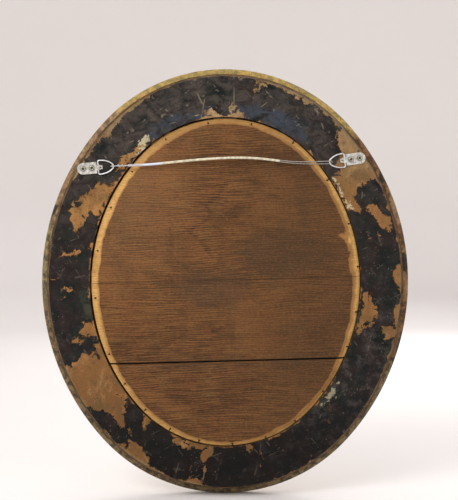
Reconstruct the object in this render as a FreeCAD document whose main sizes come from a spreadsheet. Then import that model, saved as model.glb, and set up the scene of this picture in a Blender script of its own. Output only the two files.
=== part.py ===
import FreeCAD, Part
import math
import os
import Sketcher
from FreeCAD import Placement, Rotation, Vector

# Oval wall mirror seen from its back: a laminated gilt frame, an oval plate, a boarded back,
# two strap hangers with swinging rings and a hanging wire.
# Row frame: +Z up as hung, the mirror faces -Y and its back lies in the plane Y = 0.
# Left and right are as seen from behind, so left is +X.
# Every oval of the mirror is an offset of one four-centre oval, the wall of the rebate.

document = FreeCAD.newDocument("oval_mirror")
sizes = document.addObject("Spreadsheet::Sheet", "sizes")

SIZES = (
    # the plate and the oval that the whole frame follows
    ("plate_width", 406.4),
    ("plate_height", 495.3),
    ("plate_thickness", 4.0),
    ("plate_play", 2.4),
    ("end_power_share", 0.741),
    # the back layer of the frame
    ("back_layer_depth", 22.0),
    ("back_face_width", 61.0),
    ("side_flare", 7.0),
    ("back_arris", 1.5),
    ("top_joint_turn", 3.7),
    ("bottom_joint_turn", 8.6),
    ("left_joint_turn", 4.0),
    ("right_joint_turn", 3.0),
    # the moulded front layer
    ("front_layer_depth", 24.0),
    ("lip_width", 9.0),
    ("lip_depth", 8.0),
    ("rim_width", 77.0),
    ("rim_drop", 11.0),
    ("rim_step", 1.2),
    ("rim_top_inset", 10.0),
    ("fillet_drop", 4.0),
    ("cove_inset", 20.0),
    ("cove_rise", 3.0),
    ("sight_bead_width", 7.0),
    ("bead_step", 2.4),
    ("ovolo_bulge", 1.9),
    ("roll_bulge", 2.9),
    ("cove_hollow", 7.2),
    ("bead_bulge", 2.4),
    # the blocks that hold the plate down
    ("block_length", 34.0),
    ("block_width", 8.0),
    ("block_bevel", 3.0),
    ("block_glue_line", 0.9),
    ("block_turn", 34.0),
    # the boards behind the plate
    ("board_thickness", 9.0),
    ("board_gap", 2.0),
    ("board_drop", 0.5),
    ("board_side_shift", 0.9),
    ("bevel_width", 9.5),
    ("bevel_depth", 4.0),
    ("bevel_drop", 1.8),
    ("bevel_side_shift", 2.6),
    ("upper_joint_height", 3.2),
    ("upper_joint_gap", 0.5),
    ("lower_joint_height", -119.7),
    ("lower_joint_gap", 2.6),
    ("joint_tilt", 1.48),
    # the nails through the bevel of the boards
    ("nail_length", 20.0),
    ("nail_width", 1.8),
    ("nail_tip_width", 0.8),
    ("nail_thickness", 1.3),
    ("nail_head_width", 2.8),
    ("nail_head_height", 0.8),
    ("nail_tilt", 30.0),
    # the strap hangers
    ("sheet_thickness", 0.9),
    ("strap_width", 17.2),
    ("strap_length", 31.8),
    ("strap_setback", 2.3),
    ("tongue_width", 9.3),
    ("tongue_tip_width", 5.2),
    ("tongue_length", 6.4),
    ("window_width", 3.4),
    ("window_length", 3.0),
    ("window_inset", 2.6),
    ("near_hole", 9.6),
    ("far_hole", 22.8),
    ("strap_hole_radius", 2.1),
    ("left_bar_side", 191.9),
    ("left_bar_height", 173.3),
    ("left_strap_turn", 185.0),
    ("right_bar_side", -180.6),
    ("right_bar_height", 184.4),
    ("right_strap_turn", 8.0),
    # the rings
    ("ring_radius", 1.05),
    ("ring_bar_play", 0.08),
    ("ring_bar_length", 21.2),
    ("ring_length", 23.0),
    ("ring_shoulder_reach", 14.5),
    ("ring_shoulder_length", 19.4),
    ("ring_apex_length", 5.6),
    ("ring_bar_bend", 2.4),
    ("ring_shoulder_bend", 25.0),
    ("ring_apex_bend", 3.0),
    ("ring_rest_turn", 3.4),
    ("ring_sides", 6),
    # the pan-head screws
    ("screw_head_radius", 3.7),
    ("screw_head_height", 2.2),
    ("screw_rim_height", 0.7),
    ("screw_shoulder_radius", 3.2),
    ("screw_shoulder_height", 1.6),
    ("screw_recess_radius", 2.0),
    ("screw_recess_depth", 1.1),
    ("screw_radius", 1.75),
    ("screw_length", 16.0),
    ("screw_tip_length", 4.0),
    ("screw_tip_radius", 0.4),
    ("screw_sides", 12),
    # the hanging wire
    ("wire_radius", 0.75),
    ("wire_sides", 5),
    ("sleeve_radius", 1.9),
    ("sleeve_sides", 8),
    ("strand_gap", 0.8),
    ("left_leg_rise", 2.25),
    ("left_bight_setback", 1.3),
    ("right_leg_rise", 2.3),
    ("right_leg_spread", 1.75),
    ("right_bight_setback", 0.8),
    ("wrap_radius", 2.0),
    ("wrap_start", 6.0),
    ("wrap_pitch", 6.0),
    ("overrun", 5.0),
)

for row, (alias, value) in enumerate(SIZES, start=1):
    sizes.set(f"A{row}", alias.replace("_", " "))
    sizes.set(f"B{row}", str(value))
    sizes.setAlias(f"B{row}", alias)
document.recompute()

# Expressions of the oval: two end arcs and two side arcs that meet on a common radius.
HALF_WIDTH = "(sizes.plate_width / 2 + sizes.plate_play)"
HALF_HEIGHT = "(sizes.plate_height / 2 + sizes.plate_play)"
END_RADIUS = f"({HALF_WIDTH} * ({HALF_WIDTH} / {HALF_HEIGHT}) ^ sizes.end_power_share)"
END_CENTRE = f"({HALF_HEIGHT} - {END_RADIUS})"
END_SPARE = f"({HALF_WIDTH} - {END_RADIUS})"
SIDE_CENTRE = f"(({END_CENTRE} ^ 2 - {END_SPARE} ^ 2) / (2 * {END_SPARE}))"
SIDE_RADIUS = f"({HALF_WIDTH} + {SIDE_CENTRE})"

# Rotations from a sketch's plane to the row frame.
FACE_TO_FRONT = Rotation(Vector(1, 0, 0), 90)
FACE_TO_BACK = Rotation(Vector(1, 0, 0), -90)

# Where the nails go round the oval, counted from the left side over the top, in turns.
NAIL_TURN_SHARES = (
    0.028, 0.067, 0.103, 0.160, 0.224, 0.285, 0.349, 0.406, 0.448, 0.486, 0.525,
    0.556, 0.600, 0.647, 0.694, 0.742, 0.789, 0.833, 0.877, 0.908, 0.937, 0.987,
)

# Where the corners of a moulding's curves lie between their ends.
CURVE_SHARES = (1 / 3, 2 / 3)

# The route of the sleeve on the hanging wire, from the left end to the right end.
SLEEVE_ROUTE = (
    (146.5, 6.1, 176.0),
    (134.0, 6.3, 176.4),
    (112.0, 6.6, 177.6),
    (82.0, 7.2, 180.6),
    (50.0, 7.8, 183.9),
    (16.0, 8.2, 186.6),
    (-16.0, 8.2, 187.8),
    (-44.0, 7.8, 187.2),
    (-66.0, 7.2, 185.1),
    (-82.0, 6.7, 182.9),
)

# The two bare strands from the sleeve to the right ring.
UPPER_STRAND_ROUTE = ((-99.0, 6.4, 182.0), (-118.0, 6.0, 181.6), (-137.0, 5.7, 182.0))
LOWER_STRAND_ROUTE = ((-137.0, 2.6, 178.6), (-118.0, 3.9, 178.7), (-99.0, 5.4, 179.6))


def size(expression):
    """Value of an expression of the sheet, in millimetres or degrees."""
    if "sizes." not in expression:
        expression = f"sizes.{expression}"
    value = sizes.evalExpression(expression.replace("sizes.", ""))
    return float(getattr(value, "Value", value))


def bind(item, bindings):
    """Binds properties of one object to expressions of the sheet."""
    for path, expression in bindings.items():
        item.setExpression(path, expression)


def make(kind, name, bindings=None, **properties):
    """Adds one object with plain properties and bound sizes."""
    item = document.addObject(kind, name)
    for key, value in properties.items():
        setattr(item, key, value)
    bind(item, bindings or {})
    return item


def outline(name, corners, bends=None):
    """Closed sketch through corners given as expressions; a bend is the radius of an arc to the next one."""
    bends = bends or {}
    sketch = document.addObject("Sketcher::SketchObject", name)
    points = [Vector(size(across), size(up), 0) for across, up in corners]
    count = len(points)
    for index, start in enumerate(points):
        end = points[(index + 1) % count]
        if index in bends:
            radius, side = size(bends[index][0]), bends[index][1]
            along = (end - start).normalize()
            outward = Vector(-along.y, along.x, 0) * side
            half = (end - start).Length / 2
            centre = (start + end) * 0.5 - outward * math.sqrt(radius ** 2 - half ** 2)
            first, last = (end, start) if side > 0 else (start, end)
            turns = [math.atan2(point.y - centre.y, point.x - centre.x) for point in (first, last)]
            circle = Part.Circle(centre, Vector(0, 0, 1), radius)
            sketch.addGeometry(Part.ArcOfCircle(circle, *turns), False)
        else:
            sketch.addGeometry(Part.LineSegment(start, end), False)
    ends = []
    for index in range(count):
        arc = sketch.Geometry[index]
        starts_here = (arc.StartPoint - points[index]).Length <= (arc.EndPoint - points[index]).Length
        ends.append((1, 2) if starts_here else (2, 1))
    for index, (across, up) in enumerate(corners):
        following = (index + 1) % count
        join = (index, ends[index][1], following, ends[following][0])
        sketch.addConstraint(Sketcher.Constraint("Coincident", *join))
        for kind, expression in (("DistanceX", across), ("DistanceY", up)):
            number = sketch.addConstraint(Sketcher.Constraint(kind, index, ends[index][0], size(expression)))
            sketch.setExpression(f"Constraints[{number}]", expression)
        if index in bends:
            number = sketch.addConstraint(Sketcher.Constraint("Radius", index, size(bends[index][0])))
            sketch.setExpression(f"Constraints[{number}]", bends[index][0])
    return sketch


def oval(name, offset, level, side_shift="0 * sizes.overrun", drop="0 * sizes.overrun"):
    """Sketch of the four-centre oval, offset outward, in the plane Y = level."""
    sketch = document.addObject("Sketcher::SketchObject", name)
    end_centre = size(END_CENTRE)
    side_centre = size(SIDE_CENTRE)
    meeting = math.atan2(end_centre, side_centre)
    grow = size(offset)
    arcs = (
        (0, end_centre, size(END_RADIUS) + grow, meeting, math.pi - meeting),
        (side_centre, 0, size(SIDE_RADIUS) + grow, math.pi - meeting, math.pi + meeting),
        (0, -end_centre, size(END_RADIUS) + grow, math.pi + meeting, 2 * math.pi - meeting),
        (-side_centre, 0, size(SIDE_RADIUS) + grow, -meeting, meeting),
    )
    for across, up, radius, start, end in arcs:
        circle = Part.Circle(Vector(across, up, 0), Vector(0, 0, 1), radius)
        sketch.addGeometry(Part.ArcOfCircle(circle, start, end), False)
    for index in range(len(arcs)):
        sketch.addConstraint(Sketcher.Constraint("Tangent", index, 2, (index + 1) % len(arcs), 1))
    for index, sign in ((0, ""), (2, "-")):
        sketch.addConstraint(Sketcher.Constraint("PointOnObject", index, 3, -2))
        expression = f"{sign}{END_CENTRE}"
        number = sketch.addConstraint(Sketcher.Constraint("DistanceY", index, 3, arcs[index][1]))
        sketch.setExpression(f"Constraints[{number}]", expression)
        number = sketch.addConstraint(Sketcher.Constraint("Radius", index, arcs[index][2]))
        sketch.setExpression(f"Constraints[{number}]", f"{END_RADIUS} + {offset}")
    for index in (1, 3):
        number = sketch.addConstraint(Sketcher.Constraint("Radius", index, arcs[index][2]))
        sketch.setExpression(f"Constraints[{number}]", f"{SIDE_RADIUS} + {offset}")
    sketch.Placement = Placement(Vector(0, 0, 0), FACE_TO_FRONT)
    bind(sketch, {
        "Placement.Base.x": f"-({side_shift})",
        "Placement.Base.y": level,
        "Placement.Base.z": f"-({drop})",
    })
    return sketch


def arc_of(turn):
    """Centre, radius expression and name of the oval's arc that a turn in degrees falls on."""
    meeting = math.degrees(math.atan2(size(END_CENTRE), size(SIDE_CENTRE)))
    turn = turn % 360
    if meeting < turn <= 180 - meeting:
        return Vector(0, 0, size(END_CENTRE)), END_RADIUS, "end"
    if 180 - meeting < turn <= 180 + meeting:
        return Vector(size(SIDE_CENTRE), 0, 0), SIDE_RADIUS, "side"
    if 180 + meeting < turn <= 360 - meeting:
        return Vector(0, 0, -size(END_CENTRE)), END_RADIUS, "end"
    return Vector(-size(SIDE_CENTRE), 0, 0), SIDE_RADIUS, "side"


def outward_at(turn):
    """Unit vector in the mirror's plane at a turn in degrees from the left side."""
    return Vector(math.cos(math.radians(turn)), 0, math.sin(math.radians(turn)))


def section(name, corners, bends=None):
    """One profile, drawn twice at the radius of the end arcs and of the side arcs."""
    drawn = {}
    for arc, radius in (("end", END_RADIUS), ("side", SIDE_RADIUS)):
        drawn[arc] = outline(f"{name}_{arc}_section", corners, bends)
        bind(drawn[arc], {"Placement.Base.x": radius})
    return drawn


def turned(name, sections, start, end):
    """A profile turned about the centre of its own arc, from one turn to another."""
    centre, radius, arc = arc_of((start + end) / 2)
    piece = make(
        "Part::Revolution", name, Source=sections[arc], Axis=Vector(0, -1, 0), Angle=end - start, Solid=True,
    )
    piece.Placement = Placement(centre, Rotation(Vector(0, 1, 0), -start))
    return piece


def curve(start, end, across, up, shares):
    """Corners between two others, bulging by the given amounts half way."""
    corners = []
    for share in shares:
        bulge_share = 4 * share * (1 - share)
        corners.append(tuple(
            f"({first}) * {1 - share:.4f} + ({second}) * {share:.4f} + ({bulge}) * {bulge_share:.4f}"
            for first, second, bulge in zip(start, end, (across, up))
        ))
    return corners


def back_segments(holes):
    """The four segments of the black back layer, bored for nails and screws."""
    inner, outer = "0 * sizes.overrun", "sizes.back_face_width"
    flared = f"{outer} + sizes.side_flare"
    profile = section("back_layer", (
        (inner, "0 * sizes.overrun"),
        (inner, "-sizes.back_layer_depth"),
        (flared, "-sizes.back_layer_depth"),
        (f"{outer} + sizes.back_arris / 2", "-sizes.back_arris"),
        (f"{outer} - sizes.back_arris / 2", "0 * sizes.overrun"),
    ))
    meeting = math.degrees(math.atan2(size(END_CENTRE), size(SIDE_CENTRE)))
    left = size("left_joint_turn")
    top = 90 + size("top_joint_turn")
    right = 180 + size("right_joint_turn")
    bottom = 270 + size("bottom_joint_turn")
    spans = (
        ("frame_back_upper_left", left, meeting, top),
        ("frame_back_upper_right", top, 180 - meeting, right),
        ("frame_back_lower_right", right, 180 + meeting, bottom),
        ("frame_back_lower_left", bottom, 360 - meeting, 360 + left),
    )
    segments = []
    for label, start, change, end in spans:
        halves = (
            turned(f"{label}_first", profile, start, change),
            turned(f"{label}_second", profile, change, end),
        )
        blank = make("Part::Fuse", f"{label}_blank", Base=halves[0], Tool=halves[1], Refine=True)
        segment = make("Part::Cut", label, Base=blank, Tool=holes, Label=label)
        segments.append(segment)
    return segments


def front_segments():
    """The four gilt segments in front, each turned about one centre of the oval."""
    joint = "-sizes.back_layer_depth"
    front = f"({joint} - sizes.front_layer_depth)"
    arris = ("sizes.back_face_width + sizes.side_flare + sizes.rim_step", joint)
    rim = ("sizes.rim_width", f"{joint} - sizes.rim_drop")
    roll_top = ("sizes.rim_width - sizes.rim_top_inset", front)
    cove_top = ("sizes.rim_width - sizes.cove_inset", f"{front} + sizes.fillet_drop")
    cove_foot = ("-sizes.lip_width + sizes.sight_bead_width", f"{joint} - sizes.lip_depth + sizes.cove_rise")
    bead_level = f"{joint} - sizes.lip_depth - sizes.bead_step / 2"
    bead_foot = ("-sizes.lip_width + sizes.sight_bead_width", bead_level)
    sight = ("-sizes.lip_width", bead_level)
    profile = section("front_layer", (
        ("-sizes.lip_width", joint),
        arris, *curve(arris, rim, "sizes.ovolo_bulge", "sizes.ovolo_bulge", (1 / 2,)),
        rim, *curve(rim, roll_top, "sizes.roll_bulge", "-sizes.roll_bulge", (1 / 2,)),
        roll_top,
        cove_top, *curve(cove_top, cove_foot, "0 * sizes.overrun", "sizes.cove_hollow", CURVE_SHARES),
        cove_foot,
        bead_foot, *curve(bead_foot, sight, "0 * sizes.overrun", "-sizes.bead_bulge", (1 / 2,)),
        sight,
    ))
    meeting = math.degrees(math.atan2(size(END_CENTRE), size(SIDE_CENTRE)))
    spans = (
        ("frame_front_left", -meeting, meeting),
        ("frame_front_top", meeting, 180 - meeting),
        ("frame_front_right", 180 - meeting, 180 + meeting),
        ("frame_front_bottom", 180 + meeting, 360 - meeting),
    )
    segments = []
    for label, start, end in spans:
        segment = turned(label, profile, start, end)
        segment.Label = label
        segments.append(segment)
    return segments


def mirror_plate():
    """The oval plate, face down on the lip of the front layer."""
    edge = oval("plate_edge", "(-sizes.plate_play)", "-sizes.back_layer_depth + sizes.plate_thickness")
    return make(
        "Part::Extrusion", "mirror_plate", {"LengthFwd": "sizes.plate_thickness"},
        Base=edge, DirMode="Normal", Solid=True, Label="mirror_plate",
    )


def plate_blocks():
    """Eight small blocks in the rebate that hold the plate down and carry the boards."""
    wall = "-sizes.block_glue_line"
    plate_back = "-sizes.back_layer_depth + sizes.plate_thickness"
    board_front = "-sizes.board_thickness"
    profile = section("plate_block", (
        (wall, board_front),
        (wall, plate_back),
        ("-sizes.block_width", plate_back),
        ("-sizes.block_width + sizes.block_bevel", board_front),
    ))
    places = (
        ("left", 0, 0), ("upper_left", 90, -1), ("top", 90, 0), ("upper_right", 90, 1),
        ("right", 180, 0), ("lower_right", 270, -1), ("bottom", 270, 0), ("lower_left", 270, 1),
    )
    blocks = []
    for name, middle, side in places:
        turn = middle + side * size("block_turn")
        label = f"plate_block_{name}"
        centre, radius, arc = arc_of(turn)
        half = "sizes.block_length / 2"
        block = make(
            "Part::Extrusion", label, {"LengthFwd": half, "LengthRev": half},
            Base=profile[arc], DirMode="Normal", Solid=True, Label=label,
        )
        block.Placement = Placement(centre, Rotation(Vector(0, 1, 0), -turn))
        blocks.append(block)
    return blocks


def boards(nails):
    """Three boards across the back, cut to one bevelled oval."""
    shift = ("sizes.board_side_shift", "sizes.board_drop")
    edge = oval("board_edge", "(-sizes.board_gap)", "-sizes.bevel_depth", *shift)
    foot = oval("board_bevel_foot", "(-sizes.board_gap)", "-sizes.bevel_depth", *shift)
    top = oval(
        "board_bevel_top", "(-sizes.board_gap - sizes.bevel_width)", "0 * sizes.overrun",
        "sizes.board_side_shift + sizes.bevel_side_shift", "sizes.board_drop + sizes.bevel_drop",
    )
    body = make(
        "Part::Extrusion", "board_body", {"LengthFwd": "sizes.board_thickness - sizes.bevel_depth"},
        Base=edge, DirMode="Normal", Solid=True,
    )
    bevel = make("Part::Loft", "board_bevel", Sections=[foot, top], Solid=True, Ruled=True)
    blank = make("Part::Fuse", "board_blank", Base=body, Tool=bevel, Refine=True)
    bored = make("Part::Cut", "board_bored", Base=blank, Tool=nails)
    upper, lower = size("upper_joint_height"), size("lower_joint_height")
    reach = size(HALF_HEIGHT) + size("overrun")
    upper_gap, lower_gap = size("upper_joint_gap") / 2, size("lower_joint_gap") / 2
    spans = (
        ("backboard_top", upper + upper_gap, reach + size(HALF_HEIGHT)),
        ("backboard_middle", lower + lower_gap, upper - upper_gap),
        ("backboard_bottom", -reach - size(HALF_HEIGHT), lower - lower_gap),
    )
    tilt = Placement(Vector(0, 0, 0), Rotation(Vector(0, 1, 0), size("joint_tilt")))
    pieces = []
    for label, bottom, top_edge in spans:
        slab = make("Part::Box", f"{label}_slab", {"Width": "sizes.board_thickness + 2 * sizes.overrun"})
        slab.Length = 2 * reach
        slab.Height = top_edge - bottom
        corner = Vector(-reach, -size("board_thickness") - size("overrun"), bottom)
        slab.Placement = tilt.multiply(Placement(corner, Rotation()))
        pieces.append(make("Part::Common", label, Base=bored, Tool=slab, Label=label))
    return pieces


def nail_placements():
    """Where each nail enters the bevel, with its length along the local Y axis."""
    placements = []
    for share in NAIL_TURN_SHARES:
        turn = share * 360
        centre, radius, arc = arc_of(turn)
        outward = outward_at(turn)
        shift = Vector(-size("board_side_shift"), 0, -size("board_drop"))
        inner_shift = Vector(-size("bevel_side_shift"), 0, -size("bevel_drop"))
        edge = centre + outward * (size(radius) - size("board_gap")) + shift
        crest = edge - outward * size("bevel_width") + inner_shift
        middle = (edge + crest) * 0.5
        entry = Vector(middle.x, -size("bevel_depth") / 2, middle.z)
        slope = math.radians(size("nail_tilt"))
        heading = outward * math.cos(slope) + Vector(0, -math.sin(slope), 0)
        placements.append(Placement(entry, Rotation(outward_at(turn + 90), heading, Vector(0, 0, 0), "YXZ")))
    return placements


def backboard_nails():
    """Square cut nails driven through the bevel into the wall of the rebate."""
    half, half_tip = "sizes.nail_width / 2", "sizes.nail_tip_width / 2"
    half_thick = "sizes.nail_thickness / 2"
    shank = make("Part::Wedge", "nail_shank", {
        "Xmin": f"-{half}", "Xmax": half, "X2min": f"-{half_tip}", "X2max": half_tip,
        "Zmin": f"-{half_thick}", "Zmax": half_thick,
        "Z2min": f"-{half_thick}", "Z2max": half_thick,
        "Ymax": "sizes.nail_length",
    }, Ymin=0)
    head = make("Part::Box", "nail_head", {
        "Length": "sizes.nail_head_width",
        "Width": "sizes.nail_head_height",
        "Height": "sizes.nail_head_width",
        "Placement.Base.x": "-sizes.nail_head_width / 2",
        "Placement.Base.y": "-sizes.nail_head_height / 2",
        "Placement.Base.z": "-sizes.nail_head_width / 2",
    })
    nail = make("Part::Fuse", "nail", Base=shank, Tool=head)
    document.recompute()
    group = make("Part::Feature", "backboard_nails", Label="backboard_nails")
    copies = []
    for place in nail_placements():
        copy = nail.Shape.copy()
        copy.Placement = place
        copies.append(copy)
    group.Shape = Part.makeCompound(copies)
    return group


def hanger_frame(side):
    """Frame of one hanger: local X runs to the mirror's middle, local Z is the row's +Y."""
    base = Vector(size(f"{side}_bar_side"), 0, size(f"{side}_bar_height"))
    turn = Rotation(Vector(0, 1, 0), size(f"{side}_strap_turn"))
    return Placement(base, turn.multiply(FACE_TO_BACK))


def strap(side):
    """Folded strap: two sheets, a barrel round the ring's bar and a forked tongue beyond it."""
    bar = "(sizes.sheet_thickness + sizes.ring_bar_play + sizes.ring_radius)"
    half = "sizes.strap_width / 2"
    inner_end = "-sizes.strap_setback"
    arc_start = "-sizes.strap_length + sizes.strap_width / 2"
    plate_outline = outline(f"{side}_strap_outline", (
        (inner_end, f"-({half})"),
        (inner_end, half),
        (arc_start, half),
        ("-sizes.strap_length", "0 * sizes.overrun"),
        (arc_start, f"-({half})"),
    ), {2: (half, -1), 3: (half, -1)})
    tongue_outline = outline(f"{side}_tongue_outline", (
        (f"{inner_end} - sizes.sheet_thickness", "-sizes.tongue_width / 2"),
        ("sizes.tongue_length", "-sizes.tongue_tip_width / 2"),
        ("sizes.tongue_length", "sizes.tongue_tip_width / 2"),
        (f"{inner_end} - sizes.sheet_thickness", "sizes.tongue_width / 2"),
    ))
    window_outline = outline(f"{side}_window_outline", (
        ("sizes.window_inset", "-sizes.window_width / 2"),
        ("sizes.window_inset + sizes.window_length", "0 * sizes.overrun"),
        ("sizes.window_inset", "sizes.window_width / 2"),
    ))
    two_sheets = {"LengthFwd": "2 * sizes.sheet_thickness"}
    plate = make("Part::Extrusion", f"{side}_strap_plate", two_sheets,
                 Base=plate_outline, DirMode="Normal", Solid=True)
    tongue = make("Part::Extrusion", f"{side}_strap_tongue", two_sheets,
                  Base=tongue_outline, DirMode="Normal", Solid=True)
    window = make("Part::Extrusion", f"{side}_strap_window", {"LengthFwd": "3 * sizes.sheet_thickness"},
                  Base=window_outline, DirMode="Normal", Solid=True)
    along_bar = Rotation(Vector(1, 0, 0), -90)
    barrel = make("Part::Prism", f"{side}_strap_barrel", {
        "Circumradius": "sizes.ring_radius + sizes.ring_bar_play + sizes.sheet_thickness",
        "Polygon": "sizes.screw_sides",
        "Height": "sizes.tongue_width - sizes.sheet_thickness",
    })
    barrel.Placement = Placement(Vector(0, 0, 0), along_bar)
    bind(barrel, {
        "Placement.Base.y": "-(sizes.tongue_width - sizes.sheet_thickness) / 2",
        "Placement.Base.z": bar,
    })
    bore = make("Part::Cylinder", f"{side}_strap_bore", {
        "Radius": "sizes.ring_radius + sizes.ring_bar_play", "Height": "sizes.strap_width",
    })
    bore.Placement = Placement(Vector(0, 0, 0), along_bar)
    bind(bore, {"Placement.Base.y": "-sizes.strap_width / 2", "Placement.Base.z": bar})
    holes = []
    for place in ("near", "far"):
        hole = make("Part::Prism", f"{side}_{place}_strap_hole", {
            "Circumradius": "sizes.strap_hole_radius",
            "Polygon": "sizes.screw_sides",
            "Height": "3 * sizes.sheet_thickness",
            "Placement.Base.x": f"-sizes.{place}_hole",
        })
        holes.append(hole)
    solid = make("Part::MultiFuse", f"{side}_strap_solid", Shapes=[plate, tongue, barrel])
    cuts = make("Part::MultiFuse", f"{side}_strap_cuts", Shapes=[bore, window, *holes])
    label = f"{side}_hanger_strap"
    cut = make("Part::Cut", label, Base=solid, Tool=cuts, Label=label)
    cut.Placement = hanger_frame(side)
    return cut


def rounded_path(points, radii, closed=False):
    """Straight runs joined by tangent arcs, as the edges of one wire."""
    count = len(points)
    corners = range(count) if closed else range(1, count - 1)
    arcs = {}
    for index in corners:
        corner = points[index]
        before = (points[index - 1] - corner).normalize()
        after = (points[(index + 1) % count] - corner).normalize()
        half_turn = (math.pi - before.getAngle(after)) / 2
        reach = radii[index] * math.tan(half_turn)
        inward = (before + after).normalize()
        middle = corner + inward * (radii[index] / math.cos(half_turn) - radii[index])
        arcs[index] = (corner + before * reach, middle, corner + after * reach)
    edges = []
    runs = range(count) if closed else range(count - 1)
    for index in runs:
        following = (index + 1) % count
        start = arcs[index][2] if index in arcs else points[index]
        end = arcs[following][0] if following in arcs else points[following]
        edges.append(Part.LineSegment(start, end).toShape())
        if following in arcs:
            edges.append(Part.Arc(*arcs[following]).toShape())
    return edges


def tube(edges, kind):
    """Tube along a wire of edges, round but for its flat sides, sized by the kind's rows."""
    radius, count = size(f"{kind}_radius"), int(size(f"{kind}_sides"))
    first = edges[0]
    start = first.valueAt(first.FirstParameter)
    heading = first.tangentAt(first.FirstParameter)
    upward = Vector(0, 0, 1)
    aside = heading.cross(upward).normalize()
    upward = aside.cross(heading)
    corners = []
    for index in range(count + 1):
        angle = 2 * math.pi * (index % count + 1 / 2) / count
        corners.append(start + (aside * math.cos(angle) + upward * math.sin(angle)) * radius)
    return Part.Wire(edges).makePipeShell([Part.makePolygon(corners)], True, False)


def ring(side):
    """Stirrup-shaped ring of round rod, its bar in the strap's barrel and its legs bowed."""
    corners = (
        (0, size("ring_bar_length"), size("ring_bar_bend")),
        (size("ring_shoulder_reach"), size("ring_shoulder_length"), size("ring_shoulder_bend")),
        (size("ring_length"), size("ring_apex_length"), size("ring_apex_bend")),
    )
    one_leg = [(Vector(reach, length / 2, 0), bend) for reach, length, bend in corners]
    other_leg = [(Vector(reach, -length / 2, 0), bend) for reach, length, bend in reversed(corners)]
    path = [(Vector(0, 0, 0), 0), *one_leg, *other_leg, (Vector(0, 0, 0), 0)]
    edges = rounded_path([point for point, bend in path], [bend for point, bend in path])
    rod = make("Part::Feature", f"{side}_ring", Label=f"{side}_ring")
    rod.Shape = tube(edges, "ring")
    bar_height = size("sheet_thickness") + size("ring_bar_play") + size("ring_radius")
    lift = Placement(Vector(0, 0, bar_height), Rotation(Vector(0, 1, 0), -size("ring_rest_turn")))
    rod.Placement = hanger_frame(side).multiply(lift)
    return rod


def turned_flats(stations, count):
    """Solid of flat faces through regular polygons of the given radii and levels along Z."""
    rounds = []
    for radius, level in stations:
        angles = [2 * math.pi * index / count for index in range(count)]
        rounds.append([Vector(radius * math.cos(angle), radius * math.sin(angle), level) for angle in angles])
    faces = [Part.Face(Part.makePolygon([*corners, corners[0]])) for corners in (rounds[0], rounds[-1])]
    for lower, upper in zip(rounds, rounds[1:]):
        for index in range(count):
            following = (index + 1) % count
            corners = [lower[index], lower[following], upper[following], upper[index], lower[index]]
            faces.append(Part.Face(Part.makePolygon(corners)))
    solid = Part.makeSolid(Part.makeShell(faces))
    if solid.Volume < 0:
        solid.reverse()
    return solid


def screws():
    """Four pan-head screws on the straps, round but for their flat sides."""
    top = 2 * size("sheet_thickness")
    point = top - size("screw_length")
    whole = turned_flats((
        (size("screw_tip_radius"), point),
        (size("screw_radius"), point + size("screw_tip_length")),
        (size("screw_radius"), top),
        (size("screw_head_radius"), top),
        (size("screw_head_radius"), top + size("screw_rim_height")),
        (size("screw_shoulder_radius"), top + size("screw_shoulder_height")),
        (size("screw_recess_radius"), top + size("screw_head_height")),
        (size("screw_tip_radius"), top + size("screw_head_height") - size("screw_recess_depth")),
    ), int(size("screw_sides")))
    nodes = []
    for side in ("left", "right"):
        for place, name in (("near", "inner"), ("far", "outer")):
            label = f"{side}_hanger_screw_{name}"
            node = make("Part::Feature", label, Label=label)
            node.Shape = whole.copy()
            seat = Placement(Vector(-size(f"{place}_hole"), 0, 0), Rotation())
            node.Placement = hanger_frame(side).multiply(seat)
            nodes.append(node)
    return nodes


def biarc(start, start_heading, end, end_heading):
    """Two arcs from one point and heading to another."""
    span = end - start
    total = start_heading + end_heading
    square = 4 - total.dot(total)
    linear = 2 * span.dot(total)
    reach = (-linear + math.sqrt(linear ** 2 + 4 * square * span.dot(span))) / (2 * square)
    first = start + start_heading * reach
    second = end - end_heading * reach
    middle = (first + second) * 0.5
    edges = []
    for tail, control, tip in ((start, first, middle), (middle, second, end)):
        chord = (tail + tip) * 0.5
        rise = control - chord
        half = (tip - tail).Length / 2
        turn = math.atan2(rise.Length, half)
        crown = chord + rise.normalize() * (half * math.tan(turn / 2))
        edges.append(Part.Arc(tail, crown, tip).toShape())
    return edges


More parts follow.
